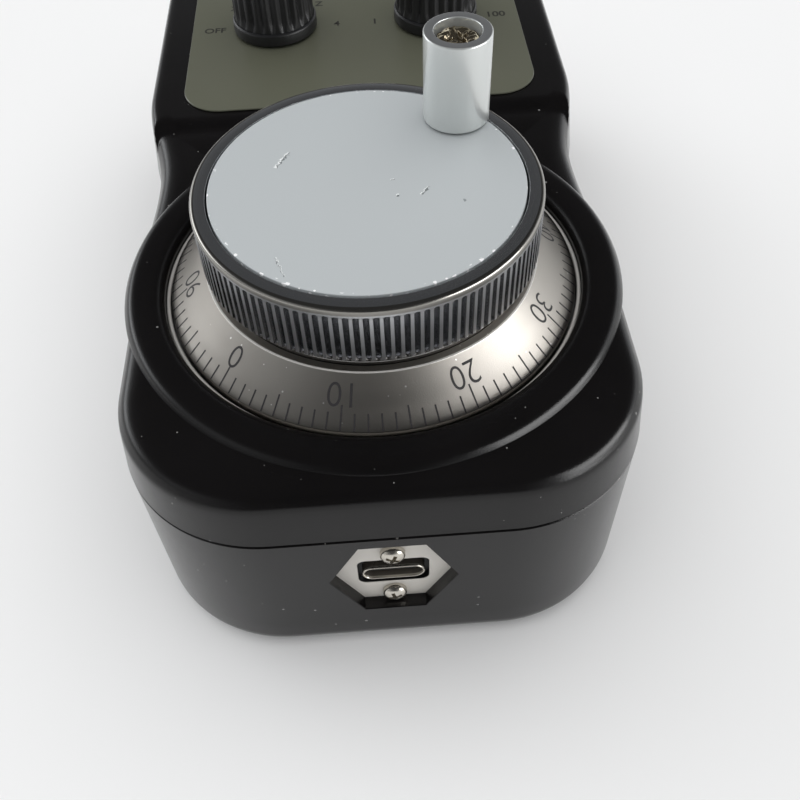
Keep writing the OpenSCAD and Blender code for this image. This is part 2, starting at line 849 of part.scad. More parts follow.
bottom_shell();
top_shell();
shell_gasket();
shell_screws();
selector_plate();
generator_flange();
generator_screws();
generator_case();
generator_cover();
terminal_block();
upper_bearing();
lower_bearing();
bearing_spacer();
detent_spring();
sensor_board();
optical_sensor();
generator_shaft();
detent_wheel();
code_disc();
shaft_clip();
graduated_dial();
dial_screws();
fluted_knob();
cap_disc();
wheel_set_screws();
handle_pivot();
crank_handle();
axis_switch();
axis_switch_nut();
axis_switch_shaft();
axis_knob();
axis_knob_screw();
multiplier_switch();
multiplier_switch_nut();
multiplier_switch_shaft();
multiplier_knob();
multiplier_knob_screw();
socket_plate();
socket_shell();
socket_tongue();
socket_board();
socket_screws();
main_board();
board_screws();
generator_ribbon();
socket_ribbon();
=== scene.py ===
from functools import partial
import math

import bmesh
import bpy
import numpy as np
from mathutils import Matrix, Vector, noise


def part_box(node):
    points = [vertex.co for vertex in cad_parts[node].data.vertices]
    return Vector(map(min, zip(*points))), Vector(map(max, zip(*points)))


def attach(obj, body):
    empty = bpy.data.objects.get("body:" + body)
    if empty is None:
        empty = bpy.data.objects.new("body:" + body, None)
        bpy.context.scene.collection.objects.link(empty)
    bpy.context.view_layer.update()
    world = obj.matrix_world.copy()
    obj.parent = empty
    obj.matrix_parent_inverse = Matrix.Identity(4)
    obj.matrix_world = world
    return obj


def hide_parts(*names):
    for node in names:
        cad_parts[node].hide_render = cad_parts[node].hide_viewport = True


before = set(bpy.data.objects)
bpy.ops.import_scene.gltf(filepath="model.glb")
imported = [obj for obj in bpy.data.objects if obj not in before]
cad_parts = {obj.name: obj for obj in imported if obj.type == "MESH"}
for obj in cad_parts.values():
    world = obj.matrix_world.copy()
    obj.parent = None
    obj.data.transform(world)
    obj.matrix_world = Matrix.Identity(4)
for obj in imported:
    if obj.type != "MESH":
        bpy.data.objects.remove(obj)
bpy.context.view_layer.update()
scene = bpy.context.scene
MM = 0.001


# ---- Bottom shell ----
# Lower half of the housing: an open tray moulded in black ABS with a fine
# matt texture. A six-sided window is cut through its wheel-end wall, and six
# stepped holes in the back take the screws that hold the shells together.

def box_mm(name):
    low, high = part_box(name)
    return low / MM, high / MM


def add_object(name, data):
    made = bpy.data.objects.new(name, data)
    scene.collection.objects.link(made)
    return made


def add_mesh(name, points, faces, soft_angle=35):
    """Mesh object from points in millimetres, doubles merged and normals out."""
    mesh = bpy.data.meshes.new(name)
    mesh.from_pydata((np.asarray(points, float) * MM).tolist(), [], faces)
    work = bmesh.new()
    work.from_mesh(mesh)
    bmesh.ops.remove_doubles(work, verts=work.verts, dist=2e-7)
    bmesh.ops.recalc_face_normals(work, faces=work.faces)
    work.to_mesh(mesh)
    work.free()
    mesh.shade_smooth()
    mesh.set_sharp_from_angle(angle=math.radians(soft_angle))
    return add_object(name, mesh)


def ring_faces(rings, count, closed=False):
    """Quads between neighbouring rings of count points each."""
    return [(k * count + i, ((k + 1) % rings) * count + i,
             ((k + 1) % rings) * count + (i + 1) % count, k * count + (i + 1) % count)
            for k in range(rings if closed else rings - 1) for i in range(count)]


def loft(name, rings, soft_angle=35):
    """Solid through a stack of rings, with a flat face on the first and last."""
    count = len(rings[0])
    last = (len(rings) - 1) * count
    faces = ring_faces(len(rings), count)
    faces += [tuple(range(count)), tuple(range(last, last + count))]
    return add_mesh(name, np.concatenate(rings), faces, soft_angle)


def arc(cx, cy, r, start, end, steps):
    """Points of an arc, angles in degrees."""
    angles = np.radians(np.linspace(start, end, steps + 1))
    return [(cx + r * math.cos(a), cy + r * math.sin(a)) for a in angles]


def rounded(corners, steps=5):
    """Polyline of [x, y, radius] corners, each one turned into an arc."""
    points = []
    for i, (x, y, radius) in enumerate(corners):
        here = Vector((x, y))
        if radius <= 0:
            points.append((x, y))
            continue
        before = (Vector(corners[i - 1][:2]) - here).normalized()
        after = (Vector(corners[(i + 1) % len(corners)][:2]) - here).normalized()
        half = before.angle(after) / 2
        reach = radius / math.tan(half)
        centre = here + (before + after).normalized() * radius / math.sin(half)
        first, last = here + before * reach - centre, here + after * reach - centre
        sweep = first.angle_signed(last)
        for k in range(steps + 1):
            points.append(tuple(centre + Matrix.Rotation(-sweep * k / steps, 2) @ first))
    return points


def lathe(name, profile, segments=256, centre=(0, 0), angles=None, soft_angle=35):
    """Revolves a closed [radius, height] profile about a vertical axis."""
    if angles is None:
        angles = np.linspace(0, 2 * math.pi, segments, endpoint=False)
    points = [(centre[0] + r * math.cos(a), centre[1] + r * math.sin(a), z)
              for r, z in profile for a in angles]
    return add_mesh(name, points, ring_faces(len(profile), len(angles), True), soft_angle)


def result_mesh(piece):
    """Plain mesh of a piece as its modifiers or its text leave it."""
    bpy.context.view_layer.update()
    graph = bpy.context.evaluated_depsgraph_get()
    return bpy.data.meshes.new_from_object(piece.evaluated_get(graph))


def settle(piece, soft_angle):
    """Keeps the result of the piece's modifiers as its mesh, smooth to an angle."""
    mesh = result_mesh(piece)
    piece.modifiers.clear()
    piece.data = mesh
    mesh.shade_smooth()
    mesh.set_sharp_from_angle(angle=math.radians(soft_angle))
    return piece


def cut(piece, *cutters, soft_angle=35):
    """Cuts the cutters out of the piece and removes them."""
    for cutter in cutters:
        step = piece.modifiers.new("cut", "BOOLEAN")
        step.operation, step.solver, step.object = "DIFFERENCE", "EXACT", cutter
    settle(piece, soft_angle)
    for cutter in cutters:
        bpy.data.objects.remove(cutter)
    return piece


def node(tree, kind, inputs=None, **settings):
    """Adds a node, sets its properties and fills or links its inputs."""
    made = tree.nodes.new(kind)
    for key, value in settings.items():
        setattr(made, key, value)
    for key, value in (inputs or {}).items():
        if isinstance(value, bpy.types.NodeSocket):
            tree.links.new(value, made.inputs[key])
        else:
            made.inputs[key].default_value = value
    return made


def maths(tree, operation, *values, clamp=False):
    return node(tree, "ShaderNodeMath", dict(enumerate(values)),
                operation=operation, use_clamp=clamp).outputs[0]


def split(tree, value):
    return node(tree, "ShaderNodeSeparateXYZ", {0: value}).outputs


def combine(tree, **parts):
    return node(tree, "ShaderNodeCombineXYZ", {"xyz".index(k): v for k, v in parts.items()}
                ).outputs[0]


def length_xy(tree, parts):
    """Distance from the vertical axis."""
    flat = combine(tree, x=parts[0], y=parts[1])
    return node(tree, "ShaderNodeVectorMath", {0: flat}, operation="LENGTH").outputs["Value"]


def ramp(tree, value, start, end, low=0.0, high=1.0, **settings):
    """Takes start to end over to low to high, held level beyond both."""
    return node(tree, "ShaderNodeMapRange", {
        "Value": value, "From Min": start, "From Max": end, "To Min": low, "To Max": high},
        **settings).outputs[0]


def noise_at(tree, at, scale, detail, **inputs):
    return node(tree, "ShaderNodeTexNoise", {
        "Vector": at, "Scale": scale, "Detail": detail, **inputs}).outputs["Fac"]


def node_group(name, kind, inputs, outputs, output_kind):
    """Empty node group with named sockets: returns it, its input and output nodes.

    An input is given by its default value, or by the name of its kind.
    """
    kinds = {int: "Int", float: "Float", tuple: "Vector"}
    group = bpy.data.node_groups.new(name, kind + "NodeTree")
    for label, value in inputs.items():
        named = isinstance(value, str)
        made = group.interface.new_socket(
            label, in_out="INPUT",
            socket_type="NodeSocket" + (value if named else kinds[type(value)]))
        if not named:
            made.default_value = value
    for label in outputs:
        group.interface.new_socket(label, in_out="OUTPUT",
                                   socket_type="NodeSocket" + output_kind)
    return group, group.nodes.new("NodeGroupInput"), group.nodes.new("NodeGroupOutput")


def colour(hex_code):
    """Linear colour of a #rrggbb code."""
    parts = [int(hex_code[i:i + 2], 16) / 255 for i in (1, 3, 5)]
    return [p / 12.92 if p <= 0.04045 else ((p + 0.055) / 1.055) ** 2.4 for p in parts] + [1]


def grain_group():
    """Fine texture left by a mould or by blasting: a height and a slow tone."""
    group, given, result = node_group("surface_grain", "Shader", {
        "Vector": "Vector", "Grain per metre": 3000.0, "Tone per metre": 40.0},
        ["Height", "Tone"], "Float")
    at, per_metre, tone_per_metre = list(given.outputs)[:3]
    group.links.new(noise_at(group, at, per_metre, 3.0, Roughness=0.65), result.inputs[0])
    group.links.new(noise_at(group, at, tone_per_metre, 4.0), result.inputs[1])
    return group


def dust_group():
    """Scattered specks of dust: 1 on a speck. Share is how many cells hold one."""
    group, given, result = node_group("dust_specks", "Shader", {
        "Vector": "Vector", "Cells per metre": 500.0, "Share": 0.1, "Size": 0.12},
        ["Mask"], "Float")
    at, per_metre, share, size = list(given.outputs)[:4]
    cells = node(group, "ShaderNodeTexVoronoi", {"Vector": at, "Scale": per_metre})
    pick = node(group, "ShaderNodeSeparateColor", {0: cells.outputs["Color"]}).outputs
    held = maths(group, "LESS_THAN", pick[0], share)
    near = maths(group, "LESS_THAN", cells.outputs["Distance"],
                 maths(group, "MULTIPLY", pick[1], size))
    group.links.new(maths(group, "MULTIPLY", held, near), result.inputs[0])
    return group


def wear_group():
    """Bright rubbed edges: near 1 on convex edges, broken up by noise."""
    group, given, result = node_group("edge_wear", "Shader", {
        "Vector": "Vector", "Start": 0.53, "End": 0.6, "Break up": 300.0}, ["Mask"], "Float")
    at, start, end, break_up = list(given.outputs)[:4]
    shape = node(group, "ShaderNodeNewGeometry")
    edge = ramp(group, shape.outputs["Pointiness"], start, end)
    patchy = noise_at(group, at, break_up, 3.0)
    group.links.new(maths(group, "MULTIPLY", edge, patchy), result.inputs[0])
    return group


GRAIN, DUST, WEAR = grain_group(), dust_group(), wear_group()


class Finish:
    """A material under construction: its tree, shader and Object coordinates."""

    def __init__(self, name, hex_code, roughness, metallic=0.0, **sockets):
        self.material = bpy.data.materials.new(name)
        self.material.use_nodes = True
        self.tree = self.material.node_tree
        self.shader = self.tree.nodes["Principled BSDF"]
        self.base = colour(hex_code)
        self.at = node(self.tree, "ShaderNodeTexCoord").outputs["Object"]
        values = {"Base Color": self.base, "Roughness": roughness, "Metallic": metallic,
                  **{k.replace("_", " "): v for k, v in sockets.items()}}
        for key, value in values.items():
            self.shader.inputs[key].default_value = value
        self.tint = self.rough = self.height = self.metal = None
        self.roughness, self.metallic = roughness, metallic

    def maths(self, operation, *values):
        return maths(self.tree, operation, *values)

    def group(self, group, **inputs):
        made = node(self.tree, "ShaderNodeGroup", node_tree=group)
        self.tree.links.new(self.at, made.inputs["Vector"])
        for key, value in inputs.items():
            made.inputs[key.replace("_", " ")].default_value = value
        return made.outputs

    def grain(self, per_metre, tone_per_metre, height=0, rougher=0, tone=None, strength=0.0):
        """Fine relief, and a slow tone that roughens and tints the surface."""
        made = self.group(GRAIN, Grain_per_metre=per_metre, Tone_per_metre=tone_per_metre)
        if height:
            self.raise_by(made["Height"], height)
        if rougher:
            self.roughen(made["Tone"], rougher)
        if tone:
            self.paint(made["Tone"], tone, strength)

    def specks(self, cells_per_metre, share, size):
        return self.group(DUST, Cells_per_metre=cells_per_metre, Share=share, Size=size)[0]

    def dust(self, cells_per_metre, share, size, hex_code, strength):
        self.paint(self.specks(cells_per_metre, share, size), hex_code, strength)

    def paint(self, mask, hex_code, strength=1.0):
        """Mixes a second colour in where the mask is 1."""
        mixed = node(self.tree, "ShaderNodeMix", data_type="RGBA")
        self.tree.links.new(self.maths("MULTIPLY", mask, strength), mixed.inputs[0])
        if self.tint is None:
            mixed.inputs[6].default_value = self.base
        else:
            self.tree.links.new(self.tint, mixed.inputs[6])
        mixed.inputs[7].default_value = colour(hex_code)
        self.tint = mixed.outputs[2]

    def roughen(self, mask, amount):
        """Adds amount times the mask to the roughness."""
        start = self.roughness if self.rough is None else self.rough
        self.rough = self.maths("MULTIPLY_ADD", mask, amount, start)

    def past(self, axis, edge, soft=0.00004):
        """0 below a coordinate (x, y, z or radius, in mm) and 1 above it."""
        parts = split(self.tree, self.at)
        value = length_xy(self.tree, parts) if axis == "radius" else parts["xyz".index(axis)]
        return ramp(self.tree, value, edge * MM - soft, edge * MM + soft)

    def band(self, axis, low, high):
        """1 between two coordinates."""
        return self.maths("SUBTRACT", self.past(axis, low), self.past(axis, high))

    def dull(self, mask, amount):
        """Takes amount times the mask off the metallic value."""
        self.metal = self.maths("MULTIPLY_ADD", mask, -amount, self.metallic)

    def raise_by(self, height, metres):
        """Adds a relief of that many metres."""
        relief = self.maths("MULTIPLY", height, metres)
        self.height = relief if self.height is None else self.maths(
            "ADD", self.height, relief)

    def done(self):
        normal = None
        if self.height is not None:
            normal = node(self.tree, "ShaderNodeBump", {
                "Height": self.height, "Distance": 1.0, "Strength": 1.0}).outputs["Normal"]
        for key, value in (("Base Color", self.tint), ("Roughness", self.rough),
                           ("Metallic", self.metal), ("Normal", normal)):
            if value is not None:
                self.tree.links.new(value, self.shader.inputs[key])
        return self.material


black_abs = Finish("black_abs", "#0b0a0a", 0.15, Specular_IOR_Level=0.29)
black_abs.grain(5200, 55, 17e-6, 0.08, "#161415", 0.6)
rubbed = black_abs.group(WEAR, Start=0.515, End=0.56, Break_up=220.0)
black_abs.roughen(rubbed["Mask"], -0.10)
black_abs.dust(420, 0.16, 0.10, "#8c8c8a", 0.7)
black_abs.dust(1300, 0.05, 0.16, "#a0a09c", 0.6)
seam_low, seam_high = 30.75, 31.4
# Pale flecks painted along the parting line: painted glints on the seam.
glint_flecks = black_abs.specks(1500, 0.16, 0.5)
seam_glint_flecks = black_abs.maths("MULTIPLY", black_abs.band("z", seam_low, seam_high), glint_flecks)
black_abs.paint(seam_glint_flecks, "#8a8884", 0.55)
BLACK_ABS = black_abs.done()


def dress(piece, material, body, slot_name, *nodes):
    """Gives a piece its material and body and hides the CAD nodes it stands for; slot_name is
    not used.
    """
    piece.data.materials.clear()
    piece.data.materials.append(material)
    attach(piece, body)
    if nodes:
        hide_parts(*nodes)
    return piece


shell_low, shell_high = box_mm("bottom_shell")
box_gap = 0.01  # keeps the rounded skin within the CAD's box
panel_half = shell_high.x - box_gap
front_y, rear_y = shell_low.y + box_gap, shell_high.y - box_gap
split_z = shell_high.z
wheel_half, waist_half, waist_y, waist_reach = 36.95, 35.6, 25, 23
front_round, rear_round = 21, 12
wall = 2
floor_top = 2.2
back_round = 4.5


def half_width(y):
    end_half = wheel_half if y < waist_y else panel_half
    swing = min(1, abs(y - waist_y) / waist_reach)
    return waist_half + (end_half - waist_half) / 2 * (1 - math.cos(math.pi * swing))


def outline(inset, corner_steps=26):
    """The housing's outline seen from above, moved inwards."""
    end_points, side_points = 14, 90
    half = [(x, front_y + inset) for x in
            np.linspace(0, wheel_half - front_round, end_points, endpoint=False)]
    half += arc(wheel_half - front_round, front_y + front_round, front_round - inset,
                -90, 0, corner_steps)
    half += [(half_width(y) - inset, y) for y in
             np.linspace(front_y + front_round, rear_y - rear_round, side_points + 2)[1:-1]]
    half += arc(panel_half - rear_round, rear_y - rear_round, rear_round - inset,
                0, 90, corner_steps)
    half += [(x, rear_y - inset) for x in
             np.linspace(panel_half - rear_round, 0, end_points + 1)[1:]]
    return np.array(half + [(-x, y) for x, y in half[-2:0:-1]])


def outline_ring(inset, z):
    flat = outline(inset)
    return np.column_stack([flat, np.full(len(flat), z)])


def stepped_hole(x, y):
    """Cutter for one screw hole: a wide counterbore and a narrow bore."""
    wide, edge, narrow, seat = 3.05, 0.3, 1.7, 5
    profile = [(0, -1), (wide + edge, -1), (wide + edge, 0), (wide, edge), (wide, seat),
               (narrow, seat), (narrow, 20), (0, 20)]
    return lathe("cutter", profile, 48, (x, y))


socket_low, socket_high = box_mm("socket_plate")
window_z = (socket_low.z + socket_high.z) / 2
window_half_w, window_half_h, window_edge = 9.0, 8.9, 0.1


def window_ring(grown, y):
    """Six-sided ring in a plane of constant y."""
    w, h = window_half_w + grown * 1.15, window_half_h + grown
    top = window_half_w / 2 + grown / 2
    return np.array([(x, y, window_z + z) for x, z in
                     [(-w, 0), (-top, -h), (top, -h), (w, 0), (top, h), (-top, h)]])


screw_low, screw_high = box_mm("shell_screws")
screw_head = 2.75
screw_x_front, screw_x_middle = 27.75, 28.45
screw_spots = [(s * x, y) for s in (1, -1) for x, y in (
    (screw_x_front, screw_low.y + screw_head), (screw_x_middle, waist_y + 5),
    (panel_half - 8, screw_high.y - screw_head))]

back_edge = [(back_round * (1 - math.sin(a)), back_round * (1 - math.cos(a)))
             for a in np.radians(np.linspace(0, 90, 13))]
levels = back_edge + [(0, 8), (0, 16), (0, split_z - 0.16), (0.16, split_z), (wall, split_z),
                      (wall, split_z - 8), (wall, floor_top)]
bottom = loft("bottom_shell_skin", [outline_ring(t, z) for t, z in levels])
window = loft("window_cutter", [
    window_ring(1 + window_edge, front_y - 1), window_ring(window_edge, front_y),
    window_ring(0, front_y + window_edge), window_ring(0, front_y + wall + 1)])
cut(bottom, window, *[stepped_hole(x, y) for x, y in screw_spots])
dress(bottom, BLACK_ABS, "housing", "black_abs", "bottom_shell")


# ---- Gasket ----
# Thin black rubber seal between the shells: it shows as the dark line
# round the housing, a little inside both walls.

rubber = Finish("gasket_rubber", "#0b0b0c", 0.75)
rubber.grain(2600, 40, 10e-6)
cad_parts["shell_gasket"].data.materials[0] = rubber.done()


# ---- Top shell ----
# Upper half of the housing, moulded in the same black ABS: rounded shoulders,
# a raised panel for the selectors and a round collar about the wheel's well.
# The cover is one skin of rings out to the parting line; the collar is turned.

top_low, top_high = box_mm("top_shell")
parting_z, panel_z = top_low.z, top_high.z
deck_z, ceiling_z, seat_z = 40.6, 38.2, 33.6
panel_start = 38
side_steps = [(0, parting_z), (0.25, 33.4), (0.5, 35.6), (0.72, 37.4)]
deck_steps = side_steps + [(0.88, 38.4), (1.25, 39.05), (1.8, 39.8), (2.5, 40.25),
                           (3.4, 40.47), (4.6, deck_z), (8, deck_z)]
panel_steps = side_steps + [(0.9, 39.0), (1.05, 40.2), (1.35, 41.2), (1.95, 41.8),
                            (2.9, panel_z), (8, panel_z)]
front_steps = [(-3, 38), (0, 40.2), (0.5, 40.75), (1.1, 41.4), (1.6, 41.8), (2.3, panel_z),
               (5, panel_z)]


def smooth_line(steps):
    """Monotone cubic through [x, y] points, as a function of x."""
    x, y = np.array(steps, float).T
    slope = np.diff(y) / np.diff(x)
    with np.errstate(divide="ignore", invalid="ignore"):
        inner = np.where(slope[1:] * slope[:-1] > 0,
                         2 * slope[1:] * slope[:-1] / (slope[1:] + slope[:-1]), 0)
    tangent = np.concatenate([[slope[0]], inner, [slope[-1]]])

    def height(at):
        at = np.clip(at, x[0], x[-1])
        k = np.clip(np.searchsorted(x, at) - 1, 0, len(slope) - 1)
        width = x[k + 1] - x[k]
        s = (at - x[k]) / width
        return ((1 + 2 * s) * (1 - s) ** 2 * y[k] + s * (1 - s) ** 2 * width * tangent[k]
                + s ** 2 * (3 - 2 * s) * y[k + 1] + s ** 2 * (s - 1) * width * tangent[k + 1])
    return height


deck_height, panel_height = smooth_line(deck_steps), smooth_line(panel_steps)
front_height = smooth_line(front_steps)


def smooth_max(a, b, blend):
    h = np.clip(0.5 + (a - b) / (2 * blend), 0, 1)
    return b + (a - b) * h + blend * h * (1 - h)


ray_angles = np.radians(np.unique(np.round(np.concatenate([
    np.arange(0, 360, 0.75), np.arange(42, 54, 0.12), np.arange(126, 138, 0.12)]), 4)))
rays = len(ray_angles)


def reach(inset):
    """Distance from the wheel's axis to the outline, along each ray."""
    flat = outline(inset)
    angles = np.unwrap(np.arctan2(flat[:, 1], flat[:, 0]))
    radii = np.hypot(flat[:, 0], flat[:, 1])
    return np.interp((ray_angles - angles[0]) % (2 * math.pi),
                     np.append(angles - angles[0], 2 * math.pi), np.append(radii, radii[0]))


def inset_at(x, y):
    """Distance of points inwards from the outline, measured to its segments."""
    flat = outline(0, corner_steps=40)
    start, step = flat, np.roll(flat, -1, 0) - flat
    length = np.hypot(*step.T)
    found = np.full(x.shape, 1e9)
    for (sx, sy), (dx, dy), size in zip(start, step, length):
        along = np.clip(((x - sx) * dx + (y - sy) * dy) / size ** 2, 0, 1)
        found = np.minimum(found, np.hypot(x - sx - along * dx, y - sy - along * dy))
    return found


def cover_height(x, y):
    inset = inset_at(x, y)
    raised = -smooth_max(-panel_height(inset), -front_height(y - panel_start), 0.3)
    return smooth_max(raised, deck_height(inset), 0.25)


def flat_ring(radii, z):
    return np.column_stack([radii * np.cos(ray_angles), radii * np.sin(ray_angles),
                            np.full(rays, float(z))])


edge_insets = [5.2, 4.4, 3.8, 3.2, 2.7, 2.3, 2.0, 1.75, 1.5, 1.3, 1.15, 1.0, 0.88, 0.76,
               0.65, 0.55, 0.45, 0.35, 0.25, 0.15, 0.06, 0]
inner_r = 34.0
outer_reach = reach(0)
squeeze = np.minimum(1, (outer_reach - inner_r - 0.6) / (outer_reach - reach(edge_insets[0])))
edge_rings = [outer_reach - (outer_reach - reach(t)) * squeeze for t in edge_insets]
crossing = edge_rings[0] * np.sin(ray_angles) > panel_start - 1.5
start_r, spread = inner_r + 0.3, edge_rings[0] - inner_r - 0.3
lines = [-1.5, -0.9, -0.5, -0.2, 0.05, 0.25, 0.45, 0.65, 0.85, 1.05, 1.25, 1.45, 1.65, 1.85,
         2.1, 2.4, 3, 4.5]
middle_rings = [start_r + 0 * spread]
for k, past in enumerate(lines):
    share = (k + 1) / (len(lines) + 1)
    along = (panel_start + past) / np.where(crossing, np.sin(ray_angles), 1)
    along = np.clip(along, start_r + 0.2 * spread * share,
                    start_r + spread * (1 - 0.06 * (1 - share)))
    middle_rings.append(np.where(crossing, along, start_r + spread * share))
middle_rings += [middle_rings[-1] + (edge_rings[0] - middle_rings[-1]) * k / 6
                 for k in range(1, 6)]
skin = [flat_ring(np.full(rays, inner_r), deck_z - 0.3)]
for radii in middle_rings + edge_rings:
    x, y = radii * np.cos(ray_angles), radii * np.sin(ray_angles)
    skin.append(np.column_stack([x, y, cover_height(x, y)]))
skin[-1][:, 2] = parting_z + 0.15
skin.append(flat_ring(reach(0.15), parting_z))
inside = [flat_ring(reach(wall + 0.6), z) for z in (parting_z, ceiling_z)]
inside.append(flat_ring(np.full(rays, inner_r), ceiling_z))
rings = skin + inside
cover = add_mesh("top_shell_cover", np.concatenate(rings),
                 ring_faces(len(rings), rays, True), soft_angle=50)
dress(cover, BLACK_ABS, "housing", "black_abs", "top_shell")

well_r, lip_round = 31.0, 1.7
collar_r, collar_z = 36.9, 41.9
collar_edge = [(-2.0, 0), (-1.5, -0.05), (-1.1, -0.18), (-0.8, -0.38), (-0.55, -0.64),
               (-0.35, -0.93), (-0.15, -1.24), (-0.02, -1.5), (0, -1.7), (-0.1, -9)]
collar_profile = rounded([(well_r, seat_z, 0), (well_r, collar_z, lip_round),
                          (34, collar_z, 0)], 8)
collar_profile += [(collar_r + out, collar_z + up) for out, up in collar_edge]
collar_profile.append((inner_r - 0.6, collar_z - 9))
collar = lathe("top_shell_collar", collar_profile, 512, soft_angle=50)
dress(collar, BLACK_ABS, "housing", "black_abs")


# ---- Shell screws ----
# Six steel pan-head screws, deep in the stepped holes of the back.
# One head with a cross recess is repeated at the holes' places.

def steel(name, hex_code="#8d8f92", roughness=0.32):
    finish = Finish(name, hex_code, roughness, 1.0)
    finish.grain(3500, 250, 4e-6, 0.15)
    return finish.done()


STEEL = steel("zinc_steel")


def cross_screw(name, head_r, head_h, shank_r, shank_l):
    """Pan-head screw along +Z from its seat at the origin, with a cross recess."""
    dome = [(head_r * math.cos(a), head_h * (0.35 + 0.65 * math.sin(a)))
            for a in np.radians(np.linspace(0, 90, 10))]
    profile = [(0, -shank_l), (shank_r * 0.7, -shank_l), (shank_r, -shank_l + 0.4),
               (shank_r, 0), (head_r - 0.08, 0), (head_r, 0.1)] + dome
    screw = lathe(name, profile, 64)
    blade, tip, width = head_r * 0.62, head_r * 0.3, head_r * 0.15
    arms = []
    for turn in (0, 90):
        spin = Matrix.Rotation(math.radians(turn), 2)
        rings = []
        for z, half in ((head_h * 0.25, tip), (head_h * 1.2, blade + head_r * 0.1)):
            rings.append(np.array([(*(spin @ Vector(p)), z) for p in
                                   [(-half, -width), (half, -width), (half, width),
                                    (-half, width)]]))
        arms.append(loft("cutter", rings))
    return cut(screw, *arms, soft_angle=40)


def coat(tree, shape, material, result):
    """Ends a node tree: real geometry with a material."""
    real = node(tree, "GeometryNodeRealizeInstances", {0: shape})
    coated = node(tree, "GeometryNodeSetMaterial", {
        "Geometry": real.outputs[0], "Material": material})
    tree.links.new(coated.outputs[0], result.inputs[0])
    return tree


def screw_tree():
    """Puts copies of a screw on the points of a mesh, turned a little at random."""
    tree, given, result = node_group("screws_on_points", "Geometry", {
        "Points": "Geometry", "Screw": "Object", "Material": "Material", "Tilt": "Rotation",
        "Seed": 3}, ["Geometry"], "Geometry")
    screw = node(tree, "GeometryNodeObjectInfo", {"Object": given.outputs["Screw"]})
    spin = node(tree, "FunctionNodeRandomValue", {
        "Min": (0, 0, 0), "Max": (0, 0, 1.5), "Seed": given.outputs["Seed"]},
        data_type="FLOAT_VECTOR")
    turn = node(tree, "FunctionNodeEulerToRotation", {0: spin.outputs[0]})
    both = node(tree, "FunctionNodeRotateRotation", {
        0: turn.outputs[0], 1: given.outputs["Tilt"]})
    placed = node(tree, "GeometryNodeInstanceOnPoints", {
        "Points": given.outputs["Points"], "Instance": screw.outputs["Geometry"],
        "Rotation": both.outputs[0]})
    return coat(tree, placed.outputs[0], given.outputs["Material"], result)


def grow(piece, tree, soft_angle=40, **values):
    """Runs a node tree on the piece and keeps the result as its mesh."""
    step = piece.modifiers.new("tree", "NODES")
    step.node_group = tree
    ids = {s.name: s.identifier for s in tree.interface.items_tree if s.in_out == "INPUT"}
    for label, value in values.items():
        step[ids[label.replace("_", " ")]] = value
    return settle(piece, soft_angle)


SCREWS = screw_tree()


def screw_set(name, screw, spots, tilt, material):
    points = add_mesh(name, spots, [])
    grow(points, SCREWS, Screw=screw, Material=material, Tilt=tilt)
    bpy.data.objects.remove(screw)
    return points


shell_screw = cross_screw("shell_screw_pattern", screw_head, 2.2, 1.25, 26)
screws = screw_set("shell_screw_set", shell_screw, [(x, y, 5) for x, y in screw_spots],
                   (math.pi, 0, 0), STEEL)
dress(screws, STEEL, "housing", "steel_screw", "shell_screws")


# ---- Cable socket ----
# A warm grey plate behind the window, a small nickel-plated receptacle with
# its contact tongue in a pocket of the plate, and two nickel pan-head screws.

face_y, plate_back = socket_low.y, socket_high.y
plate_grey = Finish("socket_plate_grey", "#dedad3", 0.5)
plate_grey.grain(2500, 160, 10e-6, 0, "#c9c5be", 0.5)
plate_grey.dust(900, 0.12, 0.2, "#5c5a55", 0.5)
# Everything behind the plate's front face, the pocket's walls too, is painted near black:
# painted shade in the pocket.
plate_grey.paint(plate_grey.past("y", face_y + 0.14), "#0c0b0b")
pocket_half_w, pocket_half_h, pocket_round = 5.1, 3.2, 1.2
port_low, port_high = box_mm("socket_shell")
port_z = (port_low.z + port_high.z) / 2


def upright_ring(points, y, middle=port_z):
    return np.array([(x, y, middle + z) for x, z in points])


def box_points(half_w, half_h, radius, steps=6):
    return rounded([(-half_w, -half_h, radius), (half_w, -half_h, radius),
                    (half_w, half_h, radius), (-half_w, half_h, radius)], steps)


plate_ring = box_points((socket_high.x - socket_low.x) / 2,
                        (socket_high.z - socket_low.z) / 2, 0.4)
plate = loft("socket_plate_sheet", [upright_ring(plate_ring, y, window_z)
                                    for y in (face_y, plate_back)])
pocket_rings = [upright_ring(box_points(pocket_half_w + g, pocket_half_h + g,
                                        pocket_round + g), y)
                for g, y in ((0.6, face_y - 0.5), (0.1, face_y), (0, face_y + 0.1),
                             (0, plate_back + 0.5))]
cut(plate, loft("cutter", pocket_rings))
dress(plate, plate_grey.done(), "housing", "socket_plate_grey", "socket_plate")

pocket_back = loft("socket_pocket", [
    upright_ring(box_points(pocket_half_w + 1, pocket_half_h + 1, 1), y)
    for y in (plate_back + 0.05, plate_back + 0.4)])
pocket_black = Finish("socket_insert_black", "#060606", 0.5)
pocket_black.grain(4000, 40, 8e-6)
POCKET_BLACK = pocket_black.done()
port_half_w, port_half_h = port_high.x, (port_high.z - port_low.z) / 2
port_wall = 0.3
bore = [upright_ring(box_points(port_half_w + 0.05, port_half_h + 0.05,
                                port_half_h + 0.02, 10), y) for y in (face_y, face_y + 3)]
cut(pocket_back, loft("cutter", bore))
dress(pocket_back, POCKET_BLACK, "housing", "tongue_plastic")


def port_ring(inset, y):
    return upright_ring(box_points(port_half_w - inset, port_half_h - inset,
                                   port_half_h - inset - 0.01, 12), y)


